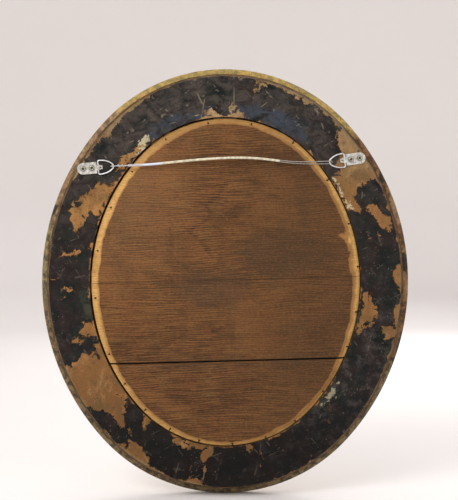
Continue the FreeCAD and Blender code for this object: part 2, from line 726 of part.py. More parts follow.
def left_wire():
    """Bare wire from the sleeve, over the left ring's rod, back under it and wrapped round itself."""
    frame = hanger_frame("left")
    rest = math.radians(size("ring_rest_turn"))
    bar_height = size("sheet_thickness") + size("ring_bar_play") + size("ring_radius")
    apex = size("ring_length") * math.cos(rest)
    rod_height = bar_height + size("ring_length") * math.sin(rest)
    rise = size("left_leg_rise")
    bend = apex - size("left_bight_setback")

    def local(along, across, up):
        return frame.multVec(Vector(along, across, up))

    sleeve_end = Vector(*SLEEVE_ROUTE[0])
    over = local(bend, 0, rod_height + rise)
    bottom = local(bend, 0, rod_height - rise)
    crown = local(bend - rise, 0, rod_height)
    axis = (sleeve_end - over).normalize()
    edges = [Part.LineSegment(sleeve_end, over).toShape(), Part.Arc(over, crown, bottom).toShape()]
    heading = (local(bend + 1, 0, 0) - local(bend, 0, 0)).normalize()
    leg_end = bottom + heading * (size("left_bight_setback") + size("wire_radius"))
    edges.append(Part.LineSegment(bottom, leg_end).toShape())
    down = Vector(0, -1, 0)
    down = (down - axis * down.dot(axis)).normalize()
    across = axis.cross(down)
    radius, pitch = size("wrap_radius"), size("wrap_pitch")
    begin = over + axis * (size("left_bight_setback") + size("wrap_start"))
    length = (sleeve_end - begin).Length - 2 * size("sleeve_radius")
    quarters = int(4 * length / pitch)

    def on_wrap(quarter):
        angle = quarter * math.pi / 2
        outward = down * math.cos(angle) + across * math.sin(angle)
        round_about = across * math.cos(angle) - down * math.sin(angle)
        point = begin + axis * (pitch * quarter / 4) + outward * radius
        tangent = (round_about * (2 * math.pi * radius) + axis * pitch).normalize()
        return point, tangent

    point, tangent = leg_end, heading
    for quarter in range(quarters + 1):
        following, next_tangent = on_wrap(quarter)
        edges.extend(biarc(point, tangent, following, next_tangent))
        point, tangent = following, next_tangent
    node = make("Part::Feature", "hanging_wire_left", Label="hanging_wire_left")
    node.Shape = tube(edges, "wire")
    return node, edges


def wire_sleeve():
    """Cream sleeve on the middle of the hanging wire."""
    points = [Vector(*point) for point in SLEEVE_ROUTE]
    edges = rounded_path(points, easy_radii(points))
    node = make("Part::Feature", "hanging_wire_sleeve", Label="hanging_wire_sleeve")
    node.Shape = tube(edges, "sleeve")
    return node, edges


def easy_radii(points, fixed=None):
    """The largest arc that two runs allow at each point, except where a radius is fixed."""
    radii = dict(fixed or {})
    for index in range(1, len(points) - 1):
        if index in radii:
            continue
        before = points[index - 1] - points[index]
        after = points[index + 1] - points[index]
        half_turn = (math.pi - before.getAngle(after)) / 2
        radii[index] = 0.45 * min(before.Length, after.Length) / math.tan(half_turn)
    return radii


def right_wire():
    """Two strands from the sleeve and the bight that joins them behind the right ring's rod."""
    frame = hanger_frame("right")
    rest = math.radians(size("ring_rest_turn"))
    bar_height = size("sheet_thickness") + size("ring_bar_play") + size("ring_radius")
    apex = size("ring_length") * math.cos(rest)
    rod_height = bar_height + size("ring_length") * math.sin(rest)
    rise, spread = size("right_leg_rise"), size("right_leg_spread")
    bend = apex - size("right_bight_setback")

    def local(along, across, up):
        return frame.multVec(Vector(along, across, up))

    over = local(bend, -spread, rod_height + rise)
    under = local(bend, spread, rod_height - rise)
    reach = math.hypot(rise, spread)
    crown = local(bend - reach, 0, rod_height)
    heading = (local(1, 0, 0) - local(0, 0, 0)).normalize()
    straight = size("ring_radius") + 2 * size("wire_radius") + size("right_bight_setback")
    half_gap = size("wire_radius") + size("strand_gap") / 2
    sleeve_end = Vector(*SLEEVE_ROUTE[-1])
    upper_start = sleeve_end + Vector(0, 0, half_gap)
    lower_end = sleeve_end - Vector(0, 0, half_gap)
    upper = [upper_start, *(Vector(*point) for point in UPPER_STRAND_ROUTE), over + heading * straight, over]
    lower = [under, under + heading * straight, *(Vector(*point) for point in LOWER_STRAND_ROUTE), lower_end]
    edges = rounded_path(upper, easy_radii(upper))
    edges.append(Part.Arc(over, crown, under).toShape())
    edges.extend(rounded_path(lower, easy_radii(lower)))
    node = make("Part::Feature", "hanging_wire_right", Label="hanging_wire_right")
    node.Shape = tube(edges, "wire")
    return node, edges


def report_tube(name, node, edges, kind):
    """Prints a tube's length, tightest bend, volume against its section's, and least gap to itself."""
    radius, count = size(f"{kind}_radius"), size(f"{kind}_sides")
    length = sum(edge.Length for edge in edges)
    bends = [edge.Curve.Radius for edge in edges if hasattr(edge.Curve, "Radius")]
    exact = count / 2 * radius ** 2 * math.sin(2 * math.pi / count) * length
    spots = []
    travelled = 0
    for edge in edges:
        steps = max(2, int(edge.Length / radius))
        for step in range(steps):
            share = step / steps
            spot = edge.valueAt(edge.FirstParameter + (edge.LastParameter - edge.FirstParameter) * share)
            spots.append((travelled + edge.Length * share, spot))
        travelled += edge.Length
    gap = min(
        (first.distanceToPoint(second) - 2 * radius
         for index, (near, first) in enumerate(spots)
         for far, second in spots[index + 1:] if far - near > 8 * radius),
        default=length,
    )
    print(f"{name}: length {length:.1f}, tightest bend {min(bends):.2f}, "
          f"volume {node.Shape.Volume / exact:.4f}, least gap to itself {gap:.2f}")


nails = backboard_nails()
screw_nodes = screws()
document.recompute()
holes = make("Part::Compound", "frame_holes", Links=[nails, *screw_nodes])
nodes = [
    *back_segments(holes),
    *front_segments(),
    mirror_plate(),
    *plate_blocks(),
    *boards(nails),
    nails,
    *screw_nodes,
]
for side in ("left", "right"):
    nodes.append(strap(side))
    nodes.append(ring(side))
for name, (node, edges), kind in (
    ("left wire", left_wire(), "wire"),
    ("sleeve", wire_sleeve(), "sleeve"),
    ("right wire", right_wire(), "wire"),
):
    report_tube(name, node, edges, kind)
    nodes.append(node)
document.recompute()

for item in document.Objects:
    if "Invalid" in item.State or "Error" in item.State:
        raise RuntimeError(f"{item.Name} failed: {item.State}")
for node in nodes:
    if node.Shape.isNull() or not node.Shape.isValid():
        raise RuntimeError(f"{node.Label} has no valid shape")

os.makedirs("parts", exist_ok=True)
for node in nodes:
    node.Shape.exportStep(f"parts/{node.Label}.step")
    print(node.Label, len(node.Shape.Solids), round(node.Shape.Volume))
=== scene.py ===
"""Back view of an old oval mirror: black paint flaking off its frame, boards, strap hangers and wire."""

import math

import bmesh
import bpy
from bpy.props import FloatProperty, FloatVectorProperty, PointerProperty
from bpy.types import Operator, Panel, PropertyGroup
from mathutils import Matrix, Vector


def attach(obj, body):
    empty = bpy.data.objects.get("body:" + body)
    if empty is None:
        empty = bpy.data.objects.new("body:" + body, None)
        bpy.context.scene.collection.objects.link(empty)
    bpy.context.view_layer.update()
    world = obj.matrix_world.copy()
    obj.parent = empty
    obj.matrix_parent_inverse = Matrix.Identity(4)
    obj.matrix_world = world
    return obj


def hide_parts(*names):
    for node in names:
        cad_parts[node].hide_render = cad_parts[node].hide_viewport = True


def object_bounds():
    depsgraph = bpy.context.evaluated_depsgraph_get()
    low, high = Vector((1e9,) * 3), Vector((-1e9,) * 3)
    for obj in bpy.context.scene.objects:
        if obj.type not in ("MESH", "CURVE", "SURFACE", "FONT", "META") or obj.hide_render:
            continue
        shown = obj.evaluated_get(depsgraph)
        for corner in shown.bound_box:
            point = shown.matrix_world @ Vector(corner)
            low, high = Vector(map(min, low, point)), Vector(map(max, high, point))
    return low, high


bl_info = {
    "name": "Oval mirror, seen from its back",
    "version": (1, 0, 0),
    "blender": (4, 5, 0),
    "location": "View3D > Sidebar > Mirror",
    "description": "Finishes, rings, screws and hanging wire of an oval mirror",
    "category": "Object",
}

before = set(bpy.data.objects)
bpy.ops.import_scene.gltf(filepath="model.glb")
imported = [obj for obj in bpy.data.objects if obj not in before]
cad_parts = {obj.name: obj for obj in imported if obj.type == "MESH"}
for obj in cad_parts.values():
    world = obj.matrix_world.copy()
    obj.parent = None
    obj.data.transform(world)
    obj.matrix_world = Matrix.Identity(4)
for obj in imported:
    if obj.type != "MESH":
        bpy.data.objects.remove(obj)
cad_low, cad_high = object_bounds()

MM = 0.001

# Spots of the finishes, by their turn in degrees: middle X and Z, half length and half width in mm.
# Where the black paint is off the wood, and where some is left in between.
PAINT_LOSSES = {
    -90: ((-265, 8, 19, 11.5), (-10, 264, 6.5, 3.2), (224, 98, 22.1, 9.9), (-271, -16, 21.2, 5),
        (-214, -27, 9.2, 6.7)),
    -75: ((-53, 297, 10.3, 3.4), (212, 115, 13.4, 10.4), (227, 44, 7, 4.5), (27, -259, 14.9, 8.9),
        (32, -289, 16.2, 1.4), (53, -293, 9, 2.8), (-261, -49, 27.4, 5.7), (-263, -69, 43.9, 5.1),
        (-215, -46, 25.2, 9.5), (-205, -69, 12.2, 5.1), (-222, -54, 12.5, 5.6), (-160, -196, 7.5, 1.7)),
    -60: ((193, 127, 24.6, 15.4), (182, 123, 25.4, 5.2), (118, -213, 11.8, 5.8)),
    -45: ((142, 188, 20, 4.9), (155, 182, 6.8, 4.2), (128, 206, 15, 6.5)),
    -30: ((-112, -287, 11, 3.5),),
    -15: ((235, 43, 14, 3.9), (222, -88, 10.8, 4.7), (211, -74, 11.3, 7.8)),
    0: ((-195, 168, 33.2, 26.8), (-11, 254, 13.9, 4.9), (17, 254, 18.7, 4.9), (3, 253, 13, 4.6),
        (178, 222, 4.9, 4), (178, 138, 7.8, 7.6), (259, 7, 7.3, 2.6), (240, -14, 5.6, 2.4),
        (-246, -77, 10.2, 10.2)),
    15: ((-54, 302, 8.8, 3.5), (210, 47, 5.6, 2.7), (69, -241, 13.6, 7), (48, -245, 17.2, 4.8),
        (50, -305, 14.7, 3.2)),
    30: ((-126, 272, 15, 2.2), (-103, 284, 11.9, 1.9), (121, -280, 27.4, 4.4), (59, -251, 8.8, 4.4)),
    45: ((-238, 94, 26.2, 8.1), (167, -183, 19.7, 15.7), (137, -258, 27, 11.6), (171, -239, 19.4, 4.3)),
    60: ((-183, 141, 33.2, 12.3), (-226, 159, 13.5, 9.9), (-205, 203, 48.2, 4.8), (-190, 119, 11.9, 8.7),
        (199, -152, 46.6, 35.8), (161, -207, 26.5, 6), (231, -146, 23.4, 9.9), (186, -110, 49, 6.9),
        (160, -157, 24, 7.2)),
    75: ((-227, 106, 10.9, 7.7), (-251, 81, 12.3, 4), (-264, 78, 23.8, 3.7), (-250, 120, 16.7, 3.4),
        (-186, 205, 29.3, 16.6), (201, -80, 17.6, 10.2), (-38, -251, 8.7, 4.8)),
}
PAINT_LEFT = {
    -90: ((-254, -17, 19.2, 10.1),),
    -30: ((234, -116, 11.7, 6.8),),
    -15: ((-222, 144, 17.1, 11.4),),
    0: ((-238, 129, 8.4, 7.5), (-263, 41, 14.6, 13.3), (200, -89, 7.8, 7.7), (200, 95, 9.7, 8.6),
        (-164, 169, 9.6, 8.9)),
    15: ((188, -205, 18.9, 10.3),),
    45: ((162, -232, 18.6, 11.7), (139, -201, 19.2, 13.5)),
    60: ((-208, 129, 13.3, 9.9),),
    75: ((-258, 79, 8, 3.4),),
}
# Where the back layer's outer edge has lost more of its paint.
PEELED = {
    45: ((-120, 282, 110, 30),), 75: ((-240, 140, 60, 30),), -75: ((-262, -70, 60, 30),),
    22: ((85, -297, 60, 26),),
}
STRIPPED = {-45: ((192, 224, 110, 34),)}
# Patches on the strip of the front layer that shows round the back layer: bare wood, then black paint.
STRIP_BARE = {
    -90: ((-275, -6, 20, 9),), 30: ((-170, 268, 26, 6), (165, -285, 30, 7)), -60: ((243, 155, 16, 5),),
    75: ((-262, 112, 26, 9), (-276, 44, 9, 5)), -75: ((278, 50, 9, 5),), 60: ((238, -175, 22, 5),),
}
STRIP_BLACK = {
    75: ((-273, 31, 15, 11), (-238, 166, 20, 3.5)), -75: ((-272, -88, 30, 3.5),),
    60: ((-262, -128, 16, 3.5),), -60: ((262, 110, 12, 3.5),),
}
# Cream ground left in the bare wood, and bluish bloom on the paint beside the boards.
CREAM_SPOTS = {
    -45: ((130, 198, 6.5, 3.1), (-161, -166, 9.0, 1.9), (-157, -177, 6.0, 1.5)),
    -30: ((123, 213, 10.5, 7.9),),
    60: ((-187, 118, 7.0, 2.6), (-177, 136, 10.0, 2.2)),
}
HAZE = {
    -45: ((-146, -186, 12, 5.4),),
    -30: ((108, 221, 15, 7.5),),
    -15: ((58, 247, 53.6, 8.3),),
    15: ((-72, 250, 52.7, 10.9), (-28, 255, 21.8, 7.1)),
    30: ((-101, 229, 27.5, 9.5),),
    75: ((207, -40, 29.3, 6.7), (196, 6, 22, 4)),
}
# Fine pale lines where the frame's segments meet.
JOINT_LINES = {90: ((-13.3, 279, 20, 0.7),), -82: ((32, -290, 14.2, 1.1),)}
# Darker, greyer places of the boards, and where the pale bevel runs further onto them.
BOARD_STAINS = {
    0: ((-88, 44, 74, 42), (-100, -118, 60, 14), (20, -8, 60, 30), (40, -122, 110, 10)),
    80: ((-118, 110, 50, 10), (-92, 60, 44, 9)),
}
BEVEL_LOBES = {-90: ((-196, 26, 20, 8),), 75: ((-190, 62, 17, 8),), 20: ((-182, 68, 10, 5),)}
# The jagged dark figure in the grain of the upper board.
BOARD_FIGURE = {
    -54: ((4, 142, 13, 3.4),), -40: ((21, 124, 13, 3.2), (26, 97, 10, 3.6)), -23: ((47, 84, 15, 3.0),),
    40: ((25, 109, 8, 3.4), (48, 71, 14, 2.6)), 56: ((29, 52, 14, 3.0),),
}
# Fine scratches in the paint: turn in degrees, fineness and width.
SCRATCHES = ((28, 34.0, 0.022), (-52, 27.0, 0.018), (81, 22.0, 0.016))

# Colours that a finish has beside those a user sets: first the bare wood's and the paint's.
HANGER_SHADE = (0.095, 0.050, 0.022)
PALE_WOOD = (0.345, 0.250, 0.138)
WEATHERED_WOOD = (0.235, 0.170, 0.100)
RIM_WOOD = (0.200, 0.140, 0.066)
BLOTCHED_WOOD = (0.105, 0.066, 0.028)
RED_WOOD = (0.140, 0.062, 0.022)
LIGHT_WOOD = (0.370, 0.215, 0.095)
WOOD_LINE = (0.100, 0.052, 0.020)
WOOD_DIRT = (0.060, 0.034, 0.016)
# A painted shadow of the paint's thickness, on the bared wood along its edges.
PAINT_EDGE_SHADOW = (0.030, 0.016, 0.008)
PAINT_ASH = (0.074, 0.061, 0.057)
# A painted shade of the paint towards the bottom.
DEEP_PAINT_SHADE = (0.0045, 0.0035, 0.0030)
LOW_HAZE = (0.048, 0.052, 0.034)
PAINT_SPECK = (0.19, 0.155, 0.115)
PAINT_SCUFF = (0.150, 0.138, 0.118)
PAINT_SCRATCH = (0.20, 0.165, 0.120)
EARTHY_SIDE = ((0.042, 0.022, 0.010), (0.160, 0.088, 0.036))
# The moulding's: its rubbed gilding, its cracks, and the mottled tones of the strip seen from behind.
RUBBED_GILT = (0.20, 0.115, 0.035)
GILT_CRACK = (0.045, 0.028, 0.014)
LEAF_SHADE = (0.210, 0.170, 0.060)
STRIP_TAN = ((0.350, 0.235, 0.130), (0.140, 0.088, 0.042))
STRIP_OLIVE = ((0.260, 0.215, 0.095), (0.075, 0.060, 0.030))
STRIP_DARK = ((0.050, 0.034, 0.018), (0.200, 0.138, 0.066))
STRIP_BROWN = ((0.240, 0.118, 0.042), (0.060, 0.030, 0.013))
STRIP_WOOD = ((0.330, 0.205, 0.100), (0.190, 0.106, 0.046))
STRIP_PAINT = (0.018, 0.013, 0.010)
# The boards' and their bevel's.
BOARD_EMBER = (0.190, 0.076, 0.022)
BOARD_RED = (0.165, 0.056, 0.022)
BOARD_OLIVE = (0.122, 0.078, 0.026)
BOARD_GREY = (0.052, 0.034, 0.019)
# A painted light on the boards towards the top at +X, and a painted shade towards -X.
BOARD_LIT_SIDE = (0.330, 0.175, 0.075)
BOARD_SHADED_SIDE = (0.056, 0.028, 0.010)
BOARD_STAIN = (0.050, 0.026, 0.012)
DARK_GRIT = (0.046, 0.022, 0.010)
LIGHT_GRIT = (0.240, 0.110, 0.042)
DARK_FIGURE = (0.030, 0.013, 0.007)
DARK_DASH = (0.040, 0.019, 0.009)
DARK_PORE = (0.028, 0.014, 0.007)
LIGHT_PORE = (0.300, 0.170, 0.080)
BEVEL_SPOT = (0.330, 0.150, 0.045)
BEVEL_EDGE = (0.340, 0.150, 0.042)
# A painted shade on the bevel.
BEVEL_SHADE = (0.215, 0.105, 0.034)
# A painted shadow on the boards' sides, in the gap round them.
BOARD_SIDE_SHADOW = (0.020, 0.012, 0.008)
# The small parts'.
NAIL_IRON = ((0.020, 0.016, 0.014), (0.075, 0.032, 0.014))
BLOCK_PINE = ((0.300, 0.160, 0.070), (0.470, 0.290, 0.140))
PLATE_SILVER = (0.86, 0.87, 0.88)
PLATE_TARNISH = (0.16, 0.13, 0.10)
PLATE_BACKING = (0.030, 0.018, 0.012)
# A painted shade on the zinc round the screws' heads.
ZINC_SCREW_SHADE = (0.230, 0.215, 0.175)
ZINC_GRIME = (0.20, 0.18, 0.15)
# A painted shade in the straps' fold.
ZINC_FOLD_SHADE = (0.05, 0.045, 0.04)
SLEEVE_SHINE = (0.62, 0.66, 0.76)
SLEEVE_END = (0.46, 0.44, 0.45)
SLEEVE_DIRT = (0.30, 0.22, 0.13)
# Metals: bright, dull and grimy colour, least roughness, and how fine their pattern is.
METALS = {
    "bright ring steel": ((0.80, 0.81, 0.82), (0.52, 0.52, 0.52), (0.20, 0.17, 0.13), 0.22, 420.0),
    "bright screw steel": ((0.78, 0.79, 0.80), (0.50, 0.50, 0.49), (0.16, 0.13, 0.09), 0.24, 700.0),
    "yellow plated crown": ((0.27, 0.25, 0.10), (0.15, 0.17, 0.08), (0.06, 0.05, 0.02), 0.45, 900.0),
    # A painted shade in the screws' cross recess and on the rims of their heads.
    "screw shade": ((0.055, 0.050, 0.022), (0.035, 0.036, 0.020), (0.015, 0.012, 0.008), 0.55, 900.0),
    "dull wire steel": ((0.74, 0.72, 0.68), (0.46, 0.45, 0.43), (0.16, 0.14, 0.12), 0.34, 650.0),
    # The same wire as above, darker for a painted shade on the bare strands.
    "shaded wire steel": ((0.47, 0.43, 0.38), (0.27, 0.25, 0.22), (0.13, 0.11, 0.09), 0.42, 650.0),
}

# Half width and half height of the mirror's ovals in mm. The bevel lies off their middle by its last two.
REBATE = (205.6, 250.05)
BACK_LAYER = (267.9, 312.4)
FRONT_LAYER = (282.6, 327.05)
SIGHT_EDGE = (196.6, 241.05)
BEVEL = (192.6, 239.0, -1.0, -2.4)

# The rebate's oval has four centres: radius and centre of its end and side arcs, and where they meet.
HALF_WIDTH, HALF_HEIGHT = REBATE
END_POWER = 0.741
END_RADIUS = HALF_WIDTH * (HALF_WIDTH / HALF_HEIGHT) ** END_POWER
END_CENTRE = HALF_HEIGHT - END_RADIUS
END_SPARE = HALF_WIDTH - END_RADIUS
SIDE_CENTRE = (END_CENTRE ** 2 - END_SPARE ** 2) / (2 * END_SPARE)
SIDE_RADIUS = HALF_WIDTH + SIDE_CENTRE
MEETING = math.atan2(END_CENTRE, SIDE_CENTRE)

# Section of the front moulding: distance outside that oval, Y, and the bulge of the line to the next corner.
MOULDING = (
    (-9, -22, 0, 0), (69.2, -22, 1.9, 1.9), (77, -33, 2.9, -2.9), (67, -46, 0, 0), (57, -42, 0, 7.2),
    (-2, -27, 0, 0), (-2, -31.2, 0, -2.4), (-9, -31.2, 0, 0),
)
# Its four segments: their arc's centre X and Z, its radius, and where it starts and ends.
SEGMENTS = {
    "left": (-SIDE_CENTRE, 0, SIDE_RADIUS, -MEETING, MEETING),
    "top": (0, END_CENTRE, END_RADIUS, MEETING, math.pi - MEETING),
    "right": (SIDE_CENTRE, 0, SIDE_RADIUS, math.pi - MEETING, math.pi + MEETING),
    "bottom": (0, -END_CENTRE, END_RADIUS, math.pi + MEETING, math.tau - MEETING),
}
BULGE_STEPS = 10
SEGMENT_STEPS = 48
CREASE = math.radians(35)

# Routes of the hanging wire, in metres, from its left end to its right end.
SLEEVE_ROUTE = (
    (0.1465, 0.0061, 0.1760), (0.1340, 0.0063, 0.1764), (0.1120, 0.0066, 0.1776),
    (0.0820, 0.0072, 0.1806), (0.0500, 0.0078, 0.1839), (0.0160, 0.0082, 0.1866),
    (-0.0160, 0.0082, 0.1878), (-0.0440, 0.0078, 0.1872), (-0.0660, 0.0072, 0.1851),
    (-0.0820, 0.0067, 0.1829),
)
UPPER_STRAND = ((-0.0990, 0.0064, 0.1820), (-0.1180, 0.0060, 0.1816), (-0.1370, 0.0057, 0.1820))
LOWER_STRAND = ((-0.1370, 0.0026, 0.1786), (-0.1180, 0.0039, 0.1787), (-0.0990, 0.0054, 0.1796))
# The wire round the rings' rods: along the strap from the bar, along the bar, and above the rod, in mm.
LEFT_LOOP = ((21.66, 0, 2.25), (19.41, 0, 2.25), (19.41, 0, -2.25), (23.71, 0, -2.25))
RIGHT_LOOP = ((25.5, -1.75, 2.3), (19.4, -1.9, 2.3), (19.4, 1.9, -2.3), (25.5, 1.75, -2.3))
# Half the gap of the two strands, two points before the left loop, and the wound end's start, radius and
# advance in each turn, all in metres.
STRAND_GAP = 0.00115
BEFORE_LOOP = (0.0120, 0.0022)
WOUND_START = 0.0073
WOUND_RADIUS = 0.00207
WOUND_ADVANCE = 0.006

# The hangers: the bar's middle X and Z in mm, and the strap's turn in degrees.
HANGERS = {"left": (191.9, 173.3, 185.0), "right": (-180.6, 184.4, 8.0)}
# A ring: height of its bar and, under the wire, of its rod in mm, its turn out of the back in degrees, and
# the radius of its bends at the bar, the shoulders and the apex in metres.
BAR_HEIGHT = 2.03
ROD_HEIGHT = 3.394
RING_TURN = 3.4
RING_BENDS = (0.0024, 0.0250, 0.0030, 0)

# How far each screw lies from the ring's bar along the strap, its turn in degrees, and the radius of the
# painted shade on the zinc round its head in mm.
SCREWS = {"inner": -9.6, "outer": -22.8}
SCREW_TURNS = {("left", "inner"): 20, ("left", "outer"): 55, ("right", "inner"): -30, ("right", "outer"): 5}
SEAT_RADIUS = 6.2
# A screw below its crown: radius and height in mm, down to its point.
SCREW_PROFILE = (
    (3.05, -0.30), (3.45, -0.72), (3.68, -1.25), (3.70, -1.60), (3.55, -2.20), (1.75, -2.20),
    (1.75, -14.0), (0.30, -18.0),
)
# Its crown: radius and height over the back in mm, how it falls away from its middle, and the recess in it.
CROWN_RADIUS = 3.05
CROWN_HEIGHT = 4.0
CROWN_FALL = 0.028
RECESS_DEPTH = 1.1
RECESS_TAPER = 0.62

# The floor's radius and rise in metres, and the lights: place, size and power.
FLOOR_PROFILE = ((0.001, 0), (1.5, 0), (3.2, 0), (3.9, 0.12), (4.4, 0.55), (4.6, 1.2), (4.7, 3.4))
LIGHTS = {
    "key light": ((1.5, 2.1, 1.7), 1.5, 52),
    "fill light": ((-1.9, 2.0, 0.7), 1.8, 14),
    "front light": ((-1.2, -2.3, 1.6), 1.6, 40),
}
# The camera's direction from the middle of the back, and the point that it looks at.
CAMERA_LINE = (0, 0.9992, 0.0401)
CAMERA_TARGET = (-0.00576, 0, 0.0486)


def colour(name, description, default):
    """A colour that a user can change."""
    return FloatVectorProperty(
        name=name, description=description, subtype="COLOR", size=3, min=0, max=1, default=default,
    )


def length(name, description, default):
    """A length that a user can change."""
    return FloatProperty(
        name=name, description=description, subtype="DISTANCE", unit="LENGTH", default=default,
    )


class MirrorFinish(PropertyGroup):
    """Colours of the old finishes."""

    paint: colour("Black paint", "Old black paint on the back of the frame", (0.0122, 0.0080, 0.0072))
    paint_cold: colour("Cold paint", "Where the black paint looks teal", (0.0052, 0.0082, 0.0072))
    # The paint dust colour serves both as dust and as a painted sheen on the upper, lit part.
    paint_dust_and_sheen: colour("Paint dust", "Grey bloom on the black paint", (0.070, 0.057, 0.048))
    paint_haze: colour("Blue haze", "Bluish bloom beside the boards", (0.034, 0.046, 0.066))
    bare_wood: colour("Bare wood", "Wood where the paint has come off", (0.305, 0.150, 0.050))
    # The shaded wood is a painted shade of the bare wood, low on the frame.
    shaded_bare_wood: colour("Shaded wood", "Browner bare wood low on the frame", (0.165, 0.077, 0.027))
    bare_grey: colour("Greyed wood", "Greyer bare wood beside the right hanger", (0.240, 0.155, 0.074))
    bare_edge: colour("Bare edge", "Warmer wood beside the paint", (0.380, 0.165, 0.050))
    cream: colour("Cream ground", "Pale ground left on the wood", (0.430, 0.380, 0.240))
    board_dark: colour("Dark board", "Dark grain of the boards", (0.039, 0.0165, 0.0062))
    board_light: colour("Light board", "Light grain of the boards", (0.198, 0.0865, 0.0265))
    bevel: colour("Bevel", "Pale wood of the bevelled edge", (0.640, 0.372, 0.120))
    gilt: colour("Gilding", "Dull gilding of the moulding", (0.480, 0.310, 0.085))
    zinc: colour("Zinc", "Bright zinc of the hangers", (0.660, 0.650, 0.600))
    sleeve: colour("Sleeve", "Cream sleeve of the wire", (0.750, 0.680, 0.500))


class MirrorHanger(PropertyGroup):
    """Sizes of the hanging hardware."""

    wire: length("Wire", "Diameter of the bare wire", 0.0015)
    sleeve: length("Sleeve", "Diameter of the sleeve", 0.0038)
    rod: length("Ring rod", "Diameter of the rings' rod", 0.0021)
    bar: length("Ring bar", "Length of the rings' bar", 0.0212)
    reach: length("Ring reach", "Distance from a ring's bar to its apex", 0.0230)
    shoulder: length("Ring shoulder", "Width of a ring where its legs turn in", 0.0194)
    shoulder_reach: length("Shoulder reach", "Distance from a ring's bar to its shoulders", 0.0145)
    apex: length("Ring apex", "Width of a ring's blunt apex", 0.0056)
    recess: length("Screw recess", "Length of the cross recess", 0.0046)


class MirrorStage(PropertyGroup):
    """Floor, light and camera."""

    distance: length("Camera distance", "From the middle of the back", 1.600)
    lens: FloatProperty(name="Lens", description="Focal length in mm over a 36 mm frame", default=76.03)
    floor: colour("Floor", "Plain pale floor", (0.87, 0.84, 0.825))
    wall: colour("Surroundings", "Pale surroundings", (0.72, 0.69, 0.68))


# Node work shared by the finishes.


def is_link(term):
    """Whether a term is another node's output, and not a value."""
    return isinstance(term, bpy.types.NodeSocket)


def add(kind, inputs, **settings):
    """One shader node beside those that its inputs come from, with links or values for its inputs."""
    tree = next(filter(is_link, inputs.values())).id_data
    node = tree.nodes.new(f"ShaderNode{kind}")
    for key, value in settings.items():
        setattr(node, key, value)
    for key, value in inputs.items():
        if is_link(value):
            tree.links.new(value, node.inputs[key])
        else:
            node.inputs[key].default_value = value
    return node


def calc(operation, *terms):
    """A Math node's result."""
    return add("Math", dict(enumerate(terms)), operation=operation).outputs[0]


def times(first, second):
    """Two values multiplied."""
    return calc("MULTIPLY", first, second)


def scaled(value, factor, base):
    """A value times a factor, plus a base."""
    return calc("MULTIPLY_ADD", value, factor, base)


def vector(operation, *terms):
    """A vector Math node's vector."""
    return add("VectorMath", dict(enumerate(terms)), operation=operation).outputs[0]


def distance(place):
    """How far a place is from the middle."""
    return add("VectorMath", {0: place}, operation="LENGTH").outputs["Value"]


def axes(place):
    """X, Y and Z of a place."""
    return add("SeparateXYZ", {0: place}).outputs[:]


def shade(tint, share):
    """A colour darkened to a share of itself."""
    return tuple(share * part for part in tint)


def blend(factor, first, second):
    """A mix of two colours."""
    pair = [term if is_link(term) else (*term, 1) for term in (first, second)]
    return add("Mix", {0: factor, 6: pair[0], 7: pair[1]}, data_type="RGBA").outputs[2]


def step(value, low, high):
    """0 below low, 1 above high, smooth between; falling where low is the larger."""
    limits = {"Value": value, "From Min": low, "From Max": high}
    return add("MapRange", limits, interpolation_type="SMOOTHSTEP").outputs[0]


def fade(value, low, high, first, second):
    """From the first colour to the second as a value goes from low to high."""
    return blend(step(value, low, high), first, second)


def coats(ground, *rows):
    """Colours laid over a ground in turn, each with its share and its steps: value, low and high."""
    for tint, share, *steps in rows:
        mask = step(*steps[0])
        for following in steps[1:]:
            mask = times(mask, step(*following))
        ground = blend(mask if share == 1 else times(mask, share), ground, tint)
    return ground


def cloud(place, scale, detail=4.0, roughness=0.55, distortion=0.0):
    """Noise between 0 and 1."""
    return add("TexNoise", {
        "Vector": place, "Scale": scale, "Detail": detail, "Roughness": roughness, "Distortion": distortion,
    }).outputs[0]


def drift(place, scale, detail, roughness=0.5):
    """Noise along three axes, each between 0 and 1."""
    return add("TexNoise", {
        "Vector": place, "Scale": scale, "Detail": detail, "Roughness": roughness,
    }).outputs[1]


def cells(place, scale, feature="F1"):
    """A pattern of cells."""
    return add("TexVoronoi", {"Vector": place, "Scale": scale}, feature=feature).outputs


def mapped(place, turn=0, scale=(1, 1, 1), kind="POINT"):
    """The place turned about Y, in degrees, and scaled."""
    inputs = {"Vector": place, "Rotation": (0, math.radians(turn), 0), "Scale": scale}
    return add("Mapping", inputs, vector_type=kind).outputs[0]


def spread(place, *scale):
    """The place stretched along its axes."""
    return mapped(place, scale=scale)


def flattened(place, warp, size):
    """The place pressed onto the back's plane, with its edges made ragged by noise."""
    ragged = vector("SUBTRACT", drift(place, 1 / size, 7.0, 0.66), (0.5, 0.5, 0.5))
    return vector("MULTIPLY", vector("MULTIPLY_ADD", ragged, (warp,) * 3, place), (1, 0, 1))


def spots(place, turns):
    """How far inside the nearest listed spot a place is, in mm, negative outside."""
    deepest = None
    for turn, rows in turns.items():
        along = mapped(place, turn, (1 / MM,) * 3)
        turn = math.radians(turn)
        for across, up, long_half, short_half in rows:
            middle_along = across * math.cos(turn) + up * math.sin(turn)
            middle_up = up * math.cos(turn) - across * math.sin(turn)
            inside = vector(
                "MULTIPLY_ADD", along, (1 / long_half, 0, 1 / short_half),
                (-middle_along / long_half, 0, -middle_up / short_half),
            )
            depth = scaled(distance(inside), -short_half, short_half)
            deepest = depth if deepest is None else calc("MAXIMUM", deepest, depth)
    return deepest


def flakes(place, size, reach):
    """Angular flakes: each cell of the given size moves an edge by up to half of reach, in mm."""
    chance = add("SeparateColor", {0: cells(place, 1 / size)["Color"]}).outputs[0]
    return scaled(chance, reach, -reach / 2)


